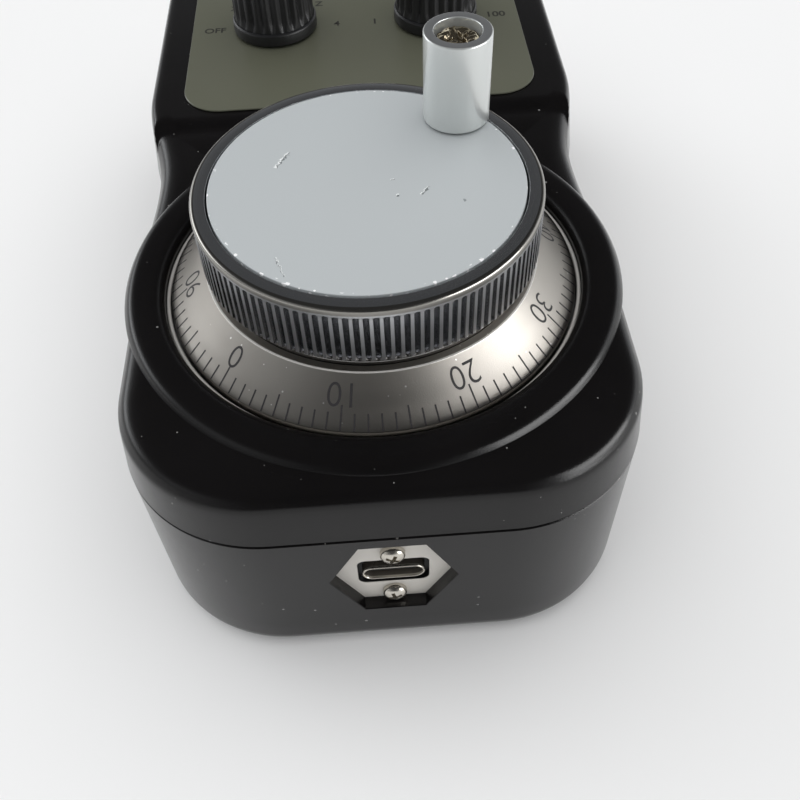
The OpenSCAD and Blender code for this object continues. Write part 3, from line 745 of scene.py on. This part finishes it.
port = loft("socket_receptacle", [
    port_ring(0, port_high.y), port_ring(0, port_low.y + 0.08), port_ring(0.08, port_low.y),
    port_ring(port_wall - 0.06, port_low.y), port_ring(port_wall, port_low.y + 0.1),
    port_ring(port_wall, port_high.y - 0.5)])
NICKEL = steel("bright_nickel", "#cfcac0", 0.16)
port_metal = Finish("receptacle_nickel", "#cfcac0", 0.22, 1.0)
port_metal.grain(4200, 300, 4e-6, 0.15)
# More than 0.3 mm behind its front edge the receptacle's nickel is painted dark brown and
# dulled: painted shade inside the bore.
painted_shade_inside = port_metal.past("y", port_low.y + 0.3, 0.0001)
port_metal.paint(painted_shade_inside, "#3a342e", 0.92)
port_metal.dull(painted_shade_inside, 0.5)
dress(port, port_metal.done(), "housing", "socket_nickel", "socket_shell")

tongue_low, tongue_high = box_mm("socket_tongue")
tongue_half_h = (tongue_high.z - tongue_low.z) / 2
tongue = loft("socket_tongue_body", [
    upright_ring(box_points(tongue_high.x - t, tongue_half_h - t, 0.1), y)
    for t, y in ((0.12, tongue_low.y), (0, tongue_low.y + 0.15), (0, tongue_high.y))])
dress(tongue, POCKET_BLACK, "housing", "tongue_plastic", "socket_tongue")

contact_count, contact_pitch = 12, 0.5
contact_size = Vector((0.26, 3.2, 0.05))
contacts = bmesh.new()
for k in range(contact_count):
    for side in (-1, 1):
        pad = bmesh.ops.create_cube(contacts, size=1)["verts"]
        bmesh.ops.scale(contacts, verts=pad, vec=contact_size * MM)
        bmesh.ops.translate(contacts, verts=pad, vec=Vector((
            (k - (contact_count - 1) / 2) * contact_pitch, tongue_low.y + 2.1,
            port_z + side * (tongue_half_h + 0.02))) * MM)
contact_mesh = bpy.data.meshes.new("socket_contacts")
contacts.to_mesh(contact_mesh)
contacts.free()
contact_strip = add_object("socket_contacts", contact_mesh)
GOLD = steel("contact_gold", "#c9a45a", 0.25)
dress(contact_strip, GOLD, "housing", "socket_nickel")

fixing_low, fixing_high = box_mm("socket_screws")
fixing_r = fixing_high.x
fixing_spots = [(0, face_y, z) for z in (fixing_low.z + fixing_r, fixing_high.z - fixing_r)]
fixing = cross_screw("socket_screw_pattern", fixing_r + 0.12, face_y - fixing_low.y + 0.3,
                     0.8, 4.6)
fixings = screw_set("socket_screw_pair", fixing, fixing_spots, (math.pi / 2, 0, 0), NICKEL)
dress(fixings, NICKEL, "housing", "socket_screw_nickel", "socket_screws")


# ---- Generator flange ----
# The fixed ring of the pulse generator, turned from aluminium: a thin bright
# rim stands round the dial, with a narrow dark gap between the two.

def turned(name, hex_code, roughness, lines_per_metre, depth):
    """Turned metal: fine circular lines about the wheel's axis."""
    finish = Finish(name, hex_code, roughness, 1.0)
    parts = split(finish.tree, finish.at)
    track = finish.maths("ADD", length_xy(finish.tree, parts), parts[2])
    lines = node(finish.tree, "ShaderNodeTexNoise", {
        "W": track, "Scale": lines_per_metre, "Detail": 4.0, "Roughness": 0.7},
        noise_dimensions="1D")
    finish.raise_by(lines.outputs["Fac"], depth)
    finish.roughen(lines.outputs["Fac"], 0.12)
    return finish


flange_high = box_mm("generator_flange")[1]
flange_r, lip_top = flange_high.x, flange_high.z
flange_face = lip_top - 2.2
ring_profile = rounded([
    (flange_r - 0.62, flange_face, 0), (flange_r - 0.62, lip_top, 0.3),
    (flange_r, lip_top, 0.3), (flange_r, flange_face - 1.5, 0), (8, flange_face - 1.5, 0),
    (8, flange_face, 0)], 6)
flange = lathe("flange_ring", ring_profile, 360)
rim_metal = turned("flange_metal", "#d6d6d4", 0.26, 5000.0, 0.000004)
# The top of the rim is painted pale and made less metallic so it shows as a bright line from
# every side: a painted highlight.
painted_highlight_rim = rim_metal.past("z", lip_top - 0.3)
rim_metal.paint(painted_highlight_rim, "#d2cfca")
rim_metal.dull(painted_highlight_rim, 0.65)
dress(flange, rim_metal.done(), "housing", "flange_metal", "generator_flange")


# ---- Graduated dial ----
# Aluminium cone, turned and bead-blasted, with 100 black divisions and a
# number at every tenth. It turns with the knob.

dial_low, dial_high = box_mm("graduated_dial")
dial_r, rim_z = dial_high.x, 40.4
cone_r, cone_z = 24.0, dial_high.z
slope = math.atan2(cone_z - rim_z, dial_r - cone_r)
dial_profile = rounded([
    (dial_r, dial_low.z, 0.1), (dial_r, rim_z, 0.15), (cone_r + 0.1, cone_z - 0.08, 0),
    (cone_r + 0.05, cone_z, 0.06), (cone_r - 0.22, cone_z, 0.06),
    (cone_r - 0.27, cone_z - 0.12, 0), (22.7, cone_z - 0.12, 0.05),
    (22.7, cone_z - 0.6, 0), (20, cone_z - 0.6, 0),
    (20, cone_z - 2.4, 0), (cone_r - 1, cone_z - 2.4, 0), (cone_r, cone_z - 1.9, 0),
    (dial_r - 1.3, dial_low.z, 0)], 4)
dial = lathe("dial_cone", dial_profile, 360)
dial_metal = turned("dial_aluminium", "#aeaaa4", 0.34, 2600.0, 0.000003)
dial_metal.grain(5500, 70, 20e-6, 0, "#a39d95", 0.6)
# The narrow bead at the cone's inner edge is painted near white and made less metallic: a
# painted highlight.
painted_highlight_bead = dial_metal.band("radius", cone_r - 0.25, cone_r + 0.08)
dial_metal.paint(painted_highlight_bead, "#f0eeea")
dial_metal.dull(painted_highlight_bead, 0.55)
dial_metal.dust(1300, 0.16, 0.2, "#f4f4f2", 0.9)
dial_metal.dust(260, 0.02, 0.10, "#4a4744", 0.8)
dress(dial, dial_metal.done(), "handwheel", "dial_aluminium", "graduated_dial")

divisions = 100
zero_angle = math.radians(-137.0)
mark_width, mark_lift, mark_margin = 0.23, 0.012, 0.12


def marks_tree():
    """Rows of flat marks on a cone, each row with its own length and step."""
    tree, given, result = node_group("dial_divisions", "Geometry", {
        "Geometry": "Geometry", "Count": 100, "Start": 0.0, "Rim radius": 0.03,
        "Rim height": 0.04, "Slope": 0.7, "Width": 0.0002, "Short": 0.002, "Middle": 0.0025,
        "Long": 0.003, "Material": "Material"}, ["Geometry"], "Geometry")
    g = given.outputs
    joined = node(tree, "GeometryNodeJoinGeometry")
    index = node(tree, "GeometryNodeInputIndex").outputs[0]
    points = node(tree, "GeometryNodePoints", {"Count": g["Count"]}).outputs[0]
    share = maths(tree, "DIVIDE", 2 * math.pi, g["Count"])
    turn = combine(tree, z=maths(tree, "MULTIPLY_ADD", index, share, g["Start"]))
    spin = node(tree, "FunctionNodeEulerToRotation", {0: turn}).outputs[0]

    def every(step):
        return maths(tree, "COMPARE", maths(tree, "MODULO", index, float(step)), 0.0, 0.1)

    for name, step, skip in (("Short", 1, 5), ("Middle", 5, 10), ("Long", 10, 0)):
        bar = node(tree, "GeometryNodeMeshCube", {
            "Size": combine(tree, x=g[name], y=g["Width"], z=0.00002)})
        moved = node(tree, "GeometryNodeTransform", {
            "Geometry": bar.outputs["Mesh"],
            "Translation": combine(tree, x=maths(tree, "MULTIPLY", g[name], -0.5))})
        leant = node(tree, "GeometryNodeTransform", {
            "Geometry": moved.outputs[0], "Rotation": combine(tree, y=g["Slope"]),
            "Translation": combine(tree, x=g["Rim radius"], z=g["Rim height"])})
        chosen = maths(tree, "SUBTRACT", every(step), every(skip)) if skip else every(step)
        placed = node(tree, "GeometryNodeInstanceOnPoints", {
            "Points": points, "Instance": leant.outputs[0], "Selection": chosen,
            "Rotation": spin})
        tree.links.new(placed.outputs[0], joined.inputs[0])
    return coat(tree, joined.outputs[0], g["Material"], result)


def ink(name, hex_code):
    finish = Finish(name, hex_code, 0.55)
    finish.grain(3000, 900, tone="#3a383a", strength=0.5)
    return finish.done()


DIAL_INK = ink("dial_ink", "#2a282a")
lift = Vector((math.sin(slope), math.cos(slope))) * mark_lift
marks = add_mesh("dial_division_marks", [(0, 0, 0)], [])
grow(marks, marks_tree(), Count=divisions, Start=zero_angle,
     Rim_radius=(dial_r - mark_margin * math.cos(slope) + lift[0]) * MM,
     Rim_height=(rim_z + mark_margin * math.sin(slope) + lift[1]) * MM, Slope=slope,
     Width=mark_width * MM, Short=2.35 * MM, Middle=3.05 * MM, Long=3.4 * MM,
     Material=DIAL_INK)
dress(marks, DIAL_INK, "handwheel", "dial_aluminium")


def text_mesh(words, size, thin):
    """Flat mesh of a word, centred on the origin, in metres."""
    curve = bpy.data.curves.new("words", "FONT")
    curve.body, curve.size, curve.offset = words, size * MM, -thin * MM
    curve.align_x, curve.align_y = "CENTER", "CENTER"
    curve.resolution_u = 6
    carrier = add_object("words", curve)
    mesh = result_mesh(carrier)
    bpy.data.objects.remove(carrier)
    return mesh


def join_meshes(name, meshes):
    work = bmesh.new()
    for mesh in meshes:
        work.from_mesh(mesh)
    joined = bpy.data.meshes.new(name)
    work.to_mesh(joined)
    work.free()
    return add_object(name, joined)


number_r, number_size, number_narrow = 26.15, 4.75, 0.93
numbers = []
for k in range(10):
    mesh = text_mesh(str(k * 10), number_size, 0.045)
    centre_angle = zero_angle + k * 2 * math.pi / 10
    for v in mesh.vertices:
        r = number_r + v.co.y / MM * math.cos(slope)
        angle = centre_angle - v.co.x * number_narrow / MM / number_r
        z = rim_z + (dial_r - r) * math.tan(slope)
        v.co = Vector(((r + lift[0]) * math.cos(angle), (r + lift[0]) * math.sin(angle),
                       z + lift[1])) * MM
    numbers.append(mesh)
numerals = join_meshes("dial_numerals", numbers)
dress(numerals, DIAL_INK, "handwheel", "dial_aluminium")


# ---- Fluted knob ----
# Turned from bar, bright finish: a narrow neck over the dial, a band of flutes
# milled with a round cutter, and a smooth shoulder round the cap.

knob_high = box_mm("fluted_knob")[1]
knob_r, shoulder_z = knob_high.x, knob_high.z
neck_r = 22.6
flutes, flute_depth, flute_width = 120, 0.55, 0.82
flute_low, flute_high = 46.9, 55.7
pitch = 2 * math.pi / flutes
shares = np.array([-0.5, -0.35, -0.19, 0, 0.19, 0.35, 0.5]) * flute_width / knob_r
knob_angles = np.array([k * pitch + s for k in range(flutes)
                        for s in (*shares, pitch / 2)])


def fine(start, end, count):
    """Points between two profile points, without the last."""
    return [tuple(p) for p in np.linspace(start, end, count, endpoint=False)]


bore_r, cap_seat_r, cap_seat_z = 18, 22.0, 54.6
knob_profile = (
    rounded([(bore_r, 45.1, 0), (neck_r, 45.1, 0), (neck_r, 46.2, 0.35)], 4)[:-1]
    + fine((neck_r + 0.35, 46.45), (knob_r - 0.1, 47.75), 12)
    + fine((knob_r - 0.02, 47.9), (knob_r, 48.1), 2)
    + fine((knob_r, 48.1), (knob_r, 54.9), 12)
    + fine((knob_r, 54.9), (knob_r, 56.0), 11)
    + rounded([(knob_r, 56.0, 0), (knob_r - 0.02, shoulder_z, 0.55),
               (cap_seat_r, shoulder_z, 0.06), (cap_seat_r, cap_seat_z, 0),
               (bore_r, cap_seat_z, 0)], 8))


def vector(tree, operation, *values):
    return node(tree, "ShaderNodeVectorMath", dict(enumerate(values)),
                operation=operation).outputs[0]


def flute_tree():
    """Presses flutes into a turned piece, round at the top and pointed below."""
    tree, given, result = node_group("milled_flutes", "Geometry", {
        "Geometry": "Geometry", "Centre": (0, 0, 0), "Flutes": 120, "Radius": 0.024,
        "Width": 0.001, "Depth": 0.0004, "Low": 0.0, "High": 0.01, "Point": 0.001,
        "Outside": 0.02, "Material": "Material"}, ["Geometry"], "Geometry")
    g = given.outputs
    do = partial(maths, tree)
    place = node(tree, "GeometryNodeInputPosition").outputs[0]
    xyz = split(tree, vector(tree, "SUBTRACT", place, g["Centre"]))
    around = do("DIVIDE", do("MULTIPLY", do("ARCTAN2", xyz[1], xyz[0]), g["Flutes"]),
                2 * math.pi)
    off = do("SUBTRACT", do("FRACT", do("ADD", around, 0.5)), 0.5)
    step = do("DIVIDE", do("MULTIPLY", g["Radius"], 2 * math.pi), g["Flutes"])
    half = do("MULTIPLY", g["Width"], 0.5)
    above = do("MAXIMUM", do("SUBTRACT", xyz[2], do("SUBTRACT", g["High"], half)), 0.0)
    arch = do("SQRT", do("MAXIMUM", do(
        "SUBTRACT", do("MULTIPLY", half, half), do("MULTIPLY", above, above)), 0.0))
    taper = do("DIVIDE", do("SUBTRACT", xyz[2], g["Low"]), g["Point"], clamp=True)
    width = do("MAXIMUM", do("MINIMUM", arch, do("MULTIPLY", half, taper)), 1e-7)
    ratio = do("DIVIDE", do("MULTIPLY", off, step), width)
    hollow = do("MAXIMUM", do("SUBTRACT", 1.0, do("POWER", do("ABSOLUTE", ratio), 1.3)), 0.0)
    depth = do("MULTIPLY", do("MULTIPLY", hollow, g["Depth"]), do("DIVIDE", width, half))
    outwards = vector(tree, "NORMALIZE", combine(tree, x=xyz[0], y=xyz[1]))
    push = node(tree, "ShaderNodeVectorMath", {
        0: outwards, "Scale": do("MULTIPLY", depth, -1.0)}, operation="SCALE")
    moved = node(tree, "GeometryNodeSetPosition", {
        "Geometry": g["Geometry"], "Offset": push.outputs[0],
        "Selection": do("GREATER_THAN", length_xy(tree, xyz), g["Outside"])})
    return coat(tree, moved.outputs[0], g["Material"], result)


knob_metal = turned("knob_aluminium", "#dcdde0", 0.15, 9000.0, 0.000003)
shoulder_foot, neck_top = 55.95, 47.7
land = knob_metal.past("radius", knob_r - 0.04, 0.00002)
# The flutes' hollows are painted darker than the lands: painted shade in the grooves.
painted_shade_groove = knob_metal.maths("MULTIPLY", knob_metal.band("z", flute_low + 0.4, flute_high),
                          knob_metal.maths("SUBTRACT", 1.0, land))
knob_metal.paint(painted_shade_groove, "#86878b", 0.7)
knob_metal.roughen(land, 0.1)
# The shoulder round the cap is painted a darker olive grey: painted shade in place of its dark
# reflection.
painted_shade_shoulder = knob_metal.maths("MULTIPLY", knob_metal.past("z", shoulder_foot, 0.0001),
                            knob_metal.past("radius", knob_r - 0.62))
knob_metal.paint(painted_shade_shoulder, "#928f89", 0.95)
# The neck below the flutes is painted darker: painted shade.
painted_shade_neck = knob_metal.maths("SUBTRACT", 1.0, knob_metal.past("z", neck_top))
knob_metal.paint(painted_shade_neck, "#8f8d8a", 0.9)
knob_metal.dust(800, 0.04, 0.12, "#f0f0ee", 0.8)
FLUTES = flute_tree()
KNOB_METAL = knob_metal.done()
knob = lathe("knob_body", knob_profile, angles=knob_angles, soft_angle=180)
grow(knob, FLUTES, 38, Flutes=flutes, Radius=knob_r * MM, Width=flute_width * MM,
     Depth=flute_depth * MM, Low=flute_low * MM, High=flute_high * MM, Point=1.3 * MM,
     Outside=22.8 * MM, Material=KNOB_METAL)
dress(knob, KNOB_METAL, "handwheel", "knob_aluminium", "fluted_knob")


# ---- Cap ----
# Flat aluminium disc pressed into the knob, with a satin pale grey finish
# that shows small scratches.

cap_low, cap_high = box_mm("cap_disc")
cap_r, cap_top = cap_high.x, cap_high.z


def turn_z(tree, at, angle):
    return node(tree, "ShaderNodeVectorRotate", {"Vector": at, "Angle": angle},
                rotation_type="Z_AXIS").outputs[0]


def scratch_group():
    """Short hairline scratches along one direction: 1 on a scratch."""
    group, given, result = node_group("hairlines", "Shader", {
        "Vector": "Vector", "Angle": 0.6, "Per metre": 60.0, "Width": 0.004, "Share": 0.4},
        ["Mask"], "Float")
    at, angle, per_metre, width, share = list(given.outputs)[:5]
    drawn = vector(group, "MULTIPLY", turn_z(group, at, angle), (1.0, 0.12, 1.0))
    lines = noise_at(group, drawn, per_metre, 1.0)
    off = maths(group, "ABSOLUTE", maths(group, "SUBTRACT", lines, 0.5))
    thin = maths(group, "LESS_THAN", off, width)
    some = maths(group, "LESS_THAN", noise_at(group, at, per_metre, 2.0), share)
    group.links.new(maths(group, "MULTIPLY", thin, some), result.inputs[0])
    return group


HAIRLINES = scratch_group()


def satin_grey(name, hex_code, roughness, metallic):
    finish = Finish(name, hex_code, roughness, metallic)
    finish.grain(4200, 30, 6e-6, 0.08, "#b4b8b9", 0.35)
    for angle, share in ((0.35, 0.33), (2.2, 0.30)):
        lines = finish.group(HAIRLINES, Angle=angle, Per_metre=70.0, Width=0.0016,
                             Share=share)
        finish.paint(lines["Mask"], "#6d7376", 0.7)
    finish.dust(300, 0.03, 0.07, "#55595b", 0.8)
    return finish


def scratches(finish, marks):
    """Dark scratches with a bright edge: marks of x, y, length, angle and width."""
    tree, do = finish.tree, finish.maths
    wander = do("SUBTRACT", noise_at(tree, finish.at, 2200.0, 2.0), 0.5)
    for x, y, length, angle, width in marks:
        placed = vector(tree, "SUBTRACT", finish.at, (x * MM, y * MM, 0))
        parts = split(tree, turn_z(tree, placed, -math.radians(angle)))
        within = do("LESS_THAN", do("ABSOLUTE", parts[0]), length / 2 * MM)
        off = do("MULTIPLY_ADD", wander, 0.0012, parts[1])
        for shift, tone in ((width, "#f4f6f6"), (0, "#4e5456")):
            line = do("LESS_THAN", do("ABSOLUTE", do("SUBTRACT", off, shift * MM)),
                      width / 2 * MM)
            finish.paint(do("MULTIPLY", within, line), tone, 0.85)


cap_finish = satin_grey("cap_face", "#b8bdbf", 0.45, 0.1)
scratches(cap_finish, [(-11.5, 5.9, 3.8, 63, 0.22), (7.8, -2.7, 2.0, 55, 0.2),
                       (3.6, 0.1, 0.5, 40, 0.2), (4.0, -3.3, 0.4, 10, 0.2),
                       (-11.6, -15.7, 3.8, -74, 0.1)])
edge_band = cap_finish.past("radius", cap_r - 0.42, 0.0001)
chips = cap_finish.maths("MULTIPLY", edge_band, cap_finish.specks(1500, 0.45, 0.55))
cap_finish.paint(chips, "#ffffff", 0.9)
cap_profile = rounded([
    (0, cap_low.z, 0), (cap_r, cap_low.z, 0), (cap_r, cap_top, 0.12), (0, cap_top, 0)], 4)
cap = lathe("cap_plate", cap_profile, 360)
dress(cap, cap_finish.done(), "handwheel", "cap_face", "cap_disc")


# ---- Crank handle ----
# Satin aluminium tube that turns freely on a shouldered screw, whose
# nickel-plated head lies in a recess in its top.

handle_low, handle_high = box_mm("crank_handle")
handle_r = (handle_high.x - handle_low.x) / 2
post_x = post_y = (handle_high.x + handle_low.x) / 2
bore_r, well_depth, well_half = 2.05, 3.4, 3.3
handle_top = handle_high.z
handle_profile = rounded([
    (bore_r, handle_low.z, 0), (handle_r, handle_low.z, 0.25), (handle_r, handle_top, 0.3),
    (well_half, handle_top, 0.22), (well_half, handle_top - well_depth, 0.1),
    (bore_r, handle_top - well_depth, 0)], 6)
handle = lathe("handle_tube", handle_profile, 128, (post_x, post_y))
handle_finish = satin_grey("handle_aluminium", "#e2e5e3", 0.25, 0.6)
# The tube's top face round the well is painted dark grey: a painted dark reflection.
handle_finish.paint(handle_finish.past("z", handle_top - 0.06), "#77787a", 0.9)
dress(handle, handle_finish.done(), "crank_handle", "handle_aluminium", "crank_handle")

pivot_low, pivot_high = box_mm("handle_pivot")
head_r = (pivot_high.x - pivot_low.x) / 2
head_z = handle_top - well_depth + 0.3
thread_r, shoulder_r = 1.5, 2
head_top = pivot_high.z
pivot_profile = rounded([
    (0, pivot_low.z, 0), (thread_r, pivot_low.z, 0), (thread_r, cap_top, 0),
    (shoulder_r, cap_top, 0), (shoulder_r, head_z, 0), (head_r, head_z, 0.1),
    (head_r, head_top - 0.35, 0)], 5)
pivot_profile += rounded([(head_r, head_top - 1, 0), (head_r, head_top, 0.7),
                          (0, head_top, 0)], 10)[1:-1]
pivot_profile += fine((head_r - 0.72, head_top), (0.02, head_top), 36)
pivot = lathe("handle_pivot_screw", pivot_profile, 120, (post_x, post_y))
head_turn = Matrix.Rotation(math.radians(-20), 2)
for vertex in pivot.data.vertices:
    x, y, z = vertex.co / MM
    if z < head_z + 0.9:
        continue
    spot = head_turn @ Vector((x - post_x, y - post_y))
    torn = noise.noise(Vector((x, y, 3.0)) * 1.9)
    sink = 0.0
    for along, across in ((spot.x, spot.y), (spot.y, spot.x)):
        deep = 1.1 - 0.42 * abs(along)
        wall_side = (0.62 + 0.35 * torn - abs(across)) / 0.22
        sink = max(sink, min(max(wall_side, 0), 1) * max(deep, 0))
    rough = 0.24 * (noise.noise(Vector((x, y, z)) * 1.5) - 0.6)
    vertex.co.z += (rough - sink) * MM
pivot.data.set_sharp_from_angle(angle=math.radians(60))
dress(pivot, steel("pivot_steel", "#c4b69c", 0.16), "handwheel", "pivot_steel",
      "handle_pivot")


# ---- Label plate ----
# Printed sheet, olive grey, stuck on the raised panel. It carries only plain
# marks for the axes and the step sizes.

label_low, label_high = box_mm("selector_plate")
label_round = 7
label_mid = (label_low.y + label_high.y) / 2
label_half_h = (label_high.y - label_low.y) / 2


def label_ring(inset, z):
    return np.array([(x, label_mid + y, z) for x, y in box_points(
        label_high.x - inset, label_half_h - inset, label_round - inset, 16)])


label_print = Finish("label_plate", "#5b5c50", 0.34, Coat_Weight=0.2, Coat_Roughness=0.2)
label_print.grain(1500, 60, 6e-6, 0, "#545646", 0.6)
label = loft("label_sheet", [label_ring(0.1, panel_z - 0.02), label_ring(0, panel_z + 0.05),
                             label_ring(0, label_high.z - 0.1),
                             label_ring(0.1, label_high.z)])
selector_x, selector_y, bush_r = 15.5, 68, 4.6
bush_low, bush_high = panel_z - 1, 44
bush_profile = [(0, bush_low), (bush_r, bush_low), (bush_r, bush_high), (0, bush_high)]
cut(label, *[lathe("cutter", bush_profile, 64, (x, selector_y))
             for x in (-selector_x, selector_x)])
dress(label, label_print.done(), "housing", "label_plate", "selector_plate")

scale_rx, scale_ry = 11.8, 11.2
words = []
for centre, names, size in ((-selector_x, ["OFF", "X", "Y", "Z", "4"], 2.4),
                            (selector_x, ["1", "10", "100"], 2.6)):
    for k, word in enumerate(names):
        mesh = text_mesh(word, size, -0.05)
        angle = math.pi - math.pi * k / (len(names) - 1)
        spot = Vector((centre + scale_rx * math.cos(angle),
                       selector_y + scale_ry * math.sin(angle), label_high.z + 0.01)) * MM
        mesh.transform(Matrix.Translation(spot))
        words.append(mesh)
print_marks = join_meshes("label_marks", words)
LABEL_INK = ink("label_ink", "#26251f")
dress(print_marks, LABEL_INK, "housing", "label_plate")


# ---- Selector knobs ----
# Two black moulded knobs with coarse flutes, a skirt and a pale pointer line,
# each held on its switch shaft by a small set screw.

knob_plastic = Finish("knob_plastic", "#19191b", 0.38)
knob_plastic.grain(4800, 120, 10e-6, 0.1)
KNOB_PLASTIC = knob_plastic.done()
POINTER_WHITE = ink("pointer_paint", "#d9d9d4")
for body, stem in (("axis_selector", "axis_knob"), ("multiplier_selector", "multiplier_knob")):
    low, high = box_mm(stem)
    r, x, y = (high.x - low.x) / 2, (high.x + low.x) / 2, (high.y + low.y) / 2
    profile = rounded([
        (7, low.z, 0), (r, low.z, 0.2), (r, low.z + 2, 0.4), (r - 0.4, low.z + 2.4, 0.1)], 4)
    profile += fine((r - 0.45, low.z + 3), (r - 0.6, high.z - 1.4), 12)
    profile += rounded([(r - 0.6, high.z - 1.4, 0), (r - 0.9, high.z, 0.6), (0, high.z, 0),
                        (0, high.z - 1, 0), (7, high.z - 1, 0)], 5)
    dial_knob = lathe(stem + "_body", profile, 240, (x, y), soft_angle=180)
    grow(dial_knob, FLUTES, 38, Centre=(x * MM, y * MM, 0), Flutes=24, Radius=r * MM,
         Width=1.5 * MM, Depth=0.5 * MM, Low=(low.z + 2.5) * MM, High=(high.z + 1.5) * MM,
         Point=0.8 * MM, Outside=(r - 1) * MM, Material=KNOB_PLASTIC)
    dress(dial_knob, KNOB_PLASTIC, body, "knob_plastic", stem)
    outer, inner, half = x - (r - 1.1), x - 1.5, 0.35
    line = loft(stem + "_pointer", [
        np.array([(outer, y - half, z), (inner, y - half, z), (inner, y + half, z),
                  (outer, y + half, z)]) for z in (high.z - 0.3, high.z + 0.03)])
    dress(line, POINTER_WHITE, body, "knob_plastic")


# ---- Pieces inside the housing and under the knobs ----
# Pulse generator, switches, boards and leads keep their own shapes: each
# takes a finish with the tone and texture of its stuff.

def plain(name, hex_code, roughness, grain_per_metre=2500):
    finish = Finish(name, hex_code, roughness)
    finish.grain(grain_per_metre, 150, 6e-6, 0.12)
    return finish.done()


inner_finishes = {
    "steel_screw": STEEL, "bearing_steel": steel("bearing_steel", "#b4b6b8", 0.16),
    "generator_plastic": plain("generator_plastic", "#303134", 0.5),
    "terminal_green": plain("terminal_green", "#2f6b4a", 0.45),
    "spring_brass": steel("spring_brass", "#c7a24d", 0.25),
    "board_green": plain("board_green", "#1f5a37", 0.35),
    "sensor_plastic": plain("sensor_plastic", "#151517", 0.4),
    "disc_metal": steel("disc_metal", "#8d9194", 0.25),
    "switch_plastic": plain("switch_plastic", "#26282b", 0.45),
    "nickel_nut": NICKEL, "ribbon_grey": plain("ribbon_grey", "#6d7073", 0.55)}
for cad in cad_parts.values():
    for k, old in enumerate(cad.data.materials):
        if old.name in inner_finishes:
            cad.data.materials[k] = inner_finishes[old.name]


# ---- Studio ----
# A plain pale floor under the housing's back, soft lamps and the camera.

floor_mesh = bpy.data.meshes.new("floor")
floor_half, floor_z = 3, -0.0002
floor_mesh.from_pydata([(x * floor_half, y * floor_half, floor_z) for x, y in (
    (-1, -1), (1, -1), (1, 1), (-1, 1))], [], [(0, 1, 2, 3)])
floor = add_object("floor", floor_mesh)
floor_mesh.materials.append(plain("floor_white", "#f0f0f0", 0.8, 80))

world = bpy.data.worlds.new("studio")
scene.world = world
world.use_nodes = True
sky = world.node_tree
way = split(sky, node(sky, "ShaderNodeTexCoord").outputs["Generated"])
bright_band = maths(sky, "MULTIPLY",
                    ramp(sky, way[2], 0.32, 0.58, 1.0, 0.0, interpolation_type="SMOOTHSTEP"),
                    ramp(sky, way[2], 0.06, 0.2))
from_left = maths(sky, "MULTIPLY", bright_band, ramp(sky, way[0], -0.88, -0.42, 5.0, 0.2))
glow = maths(sky, "MULTIPLY_ADD", from_left, ramp(sky, way[1], 0.0, 0.55, 0.08, 1.0), 0.06)
for height, side in (
        (ramp(sky, way[2], 0.25, 0.8, 0.25, 0.0), ramp(sky, way[0], -0.8, -0.2, 1.0, 0.0)),
        (ramp(sky, way[2], 0.0, 0.45, 1.6, 0.0), ramp(sky, way[0], 0.25, 0.85))):
    glow = maths(sky, "MULTIPLY_ADD", height, side, glow)
seen = node(sky, "ShaderNodeLightPath").outputs["Is Camera Ray"]
glow = node(sky, "ShaderNodeMix", {"Factor": seen, "A": glow, "B": 0.82})
sky.links.new(glow.outputs[0], sky.nodes["Background"].inputs["Strength"])
sky.nodes["Background"].inputs["Color"].default_value = (0.96, 0.98, 1.0, 1)


def lamp(name, place, width, height, power, **seen_by):
    data = bpy.data.lights.new(name, "AREA")
    data.shape, data.size, data.size_y, data.energy = "RECTANGLE", width, height, power
    made = add_object(name, data)
    made.location = place
    for rays, visible in seen_by.items():
        setattr(made, rays, visible)
    aim = Vector((0, 0, 0.03)) - Vector(place)
    made.rotation_euler = aim.to_track_quat("-Z", "Y").to_euler()


lamp("window_right", (0.53, -0.24, 0.15), 0.56, 0.24, 2.6, visible_diffuse=False)
lamp("fill", (0.0, 0.05, 2.4), 6.0, 6.0, 148.0, visible_glossy=False)

camera_data = bpy.data.cameras.new("camera")
camera_data.lens, camera_data.sensor_width = 41.0, 36.0
camera_data.clip_start, camera_data.clip_end = 0.005, 10
camera = add_object("camera", camera_data)
camera.matrix_world = Matrix((
    (0.99742, 0.06891, -0.01986, 0), (-0.06632, 0.78081, -0.62123, -0.10021),
    (-0.02730, 0.62095, 0.78337, 0.13542), (0, 0, 0, 1)))
scene.camera = camera
scene.view_settings.view_transform = "Standard"
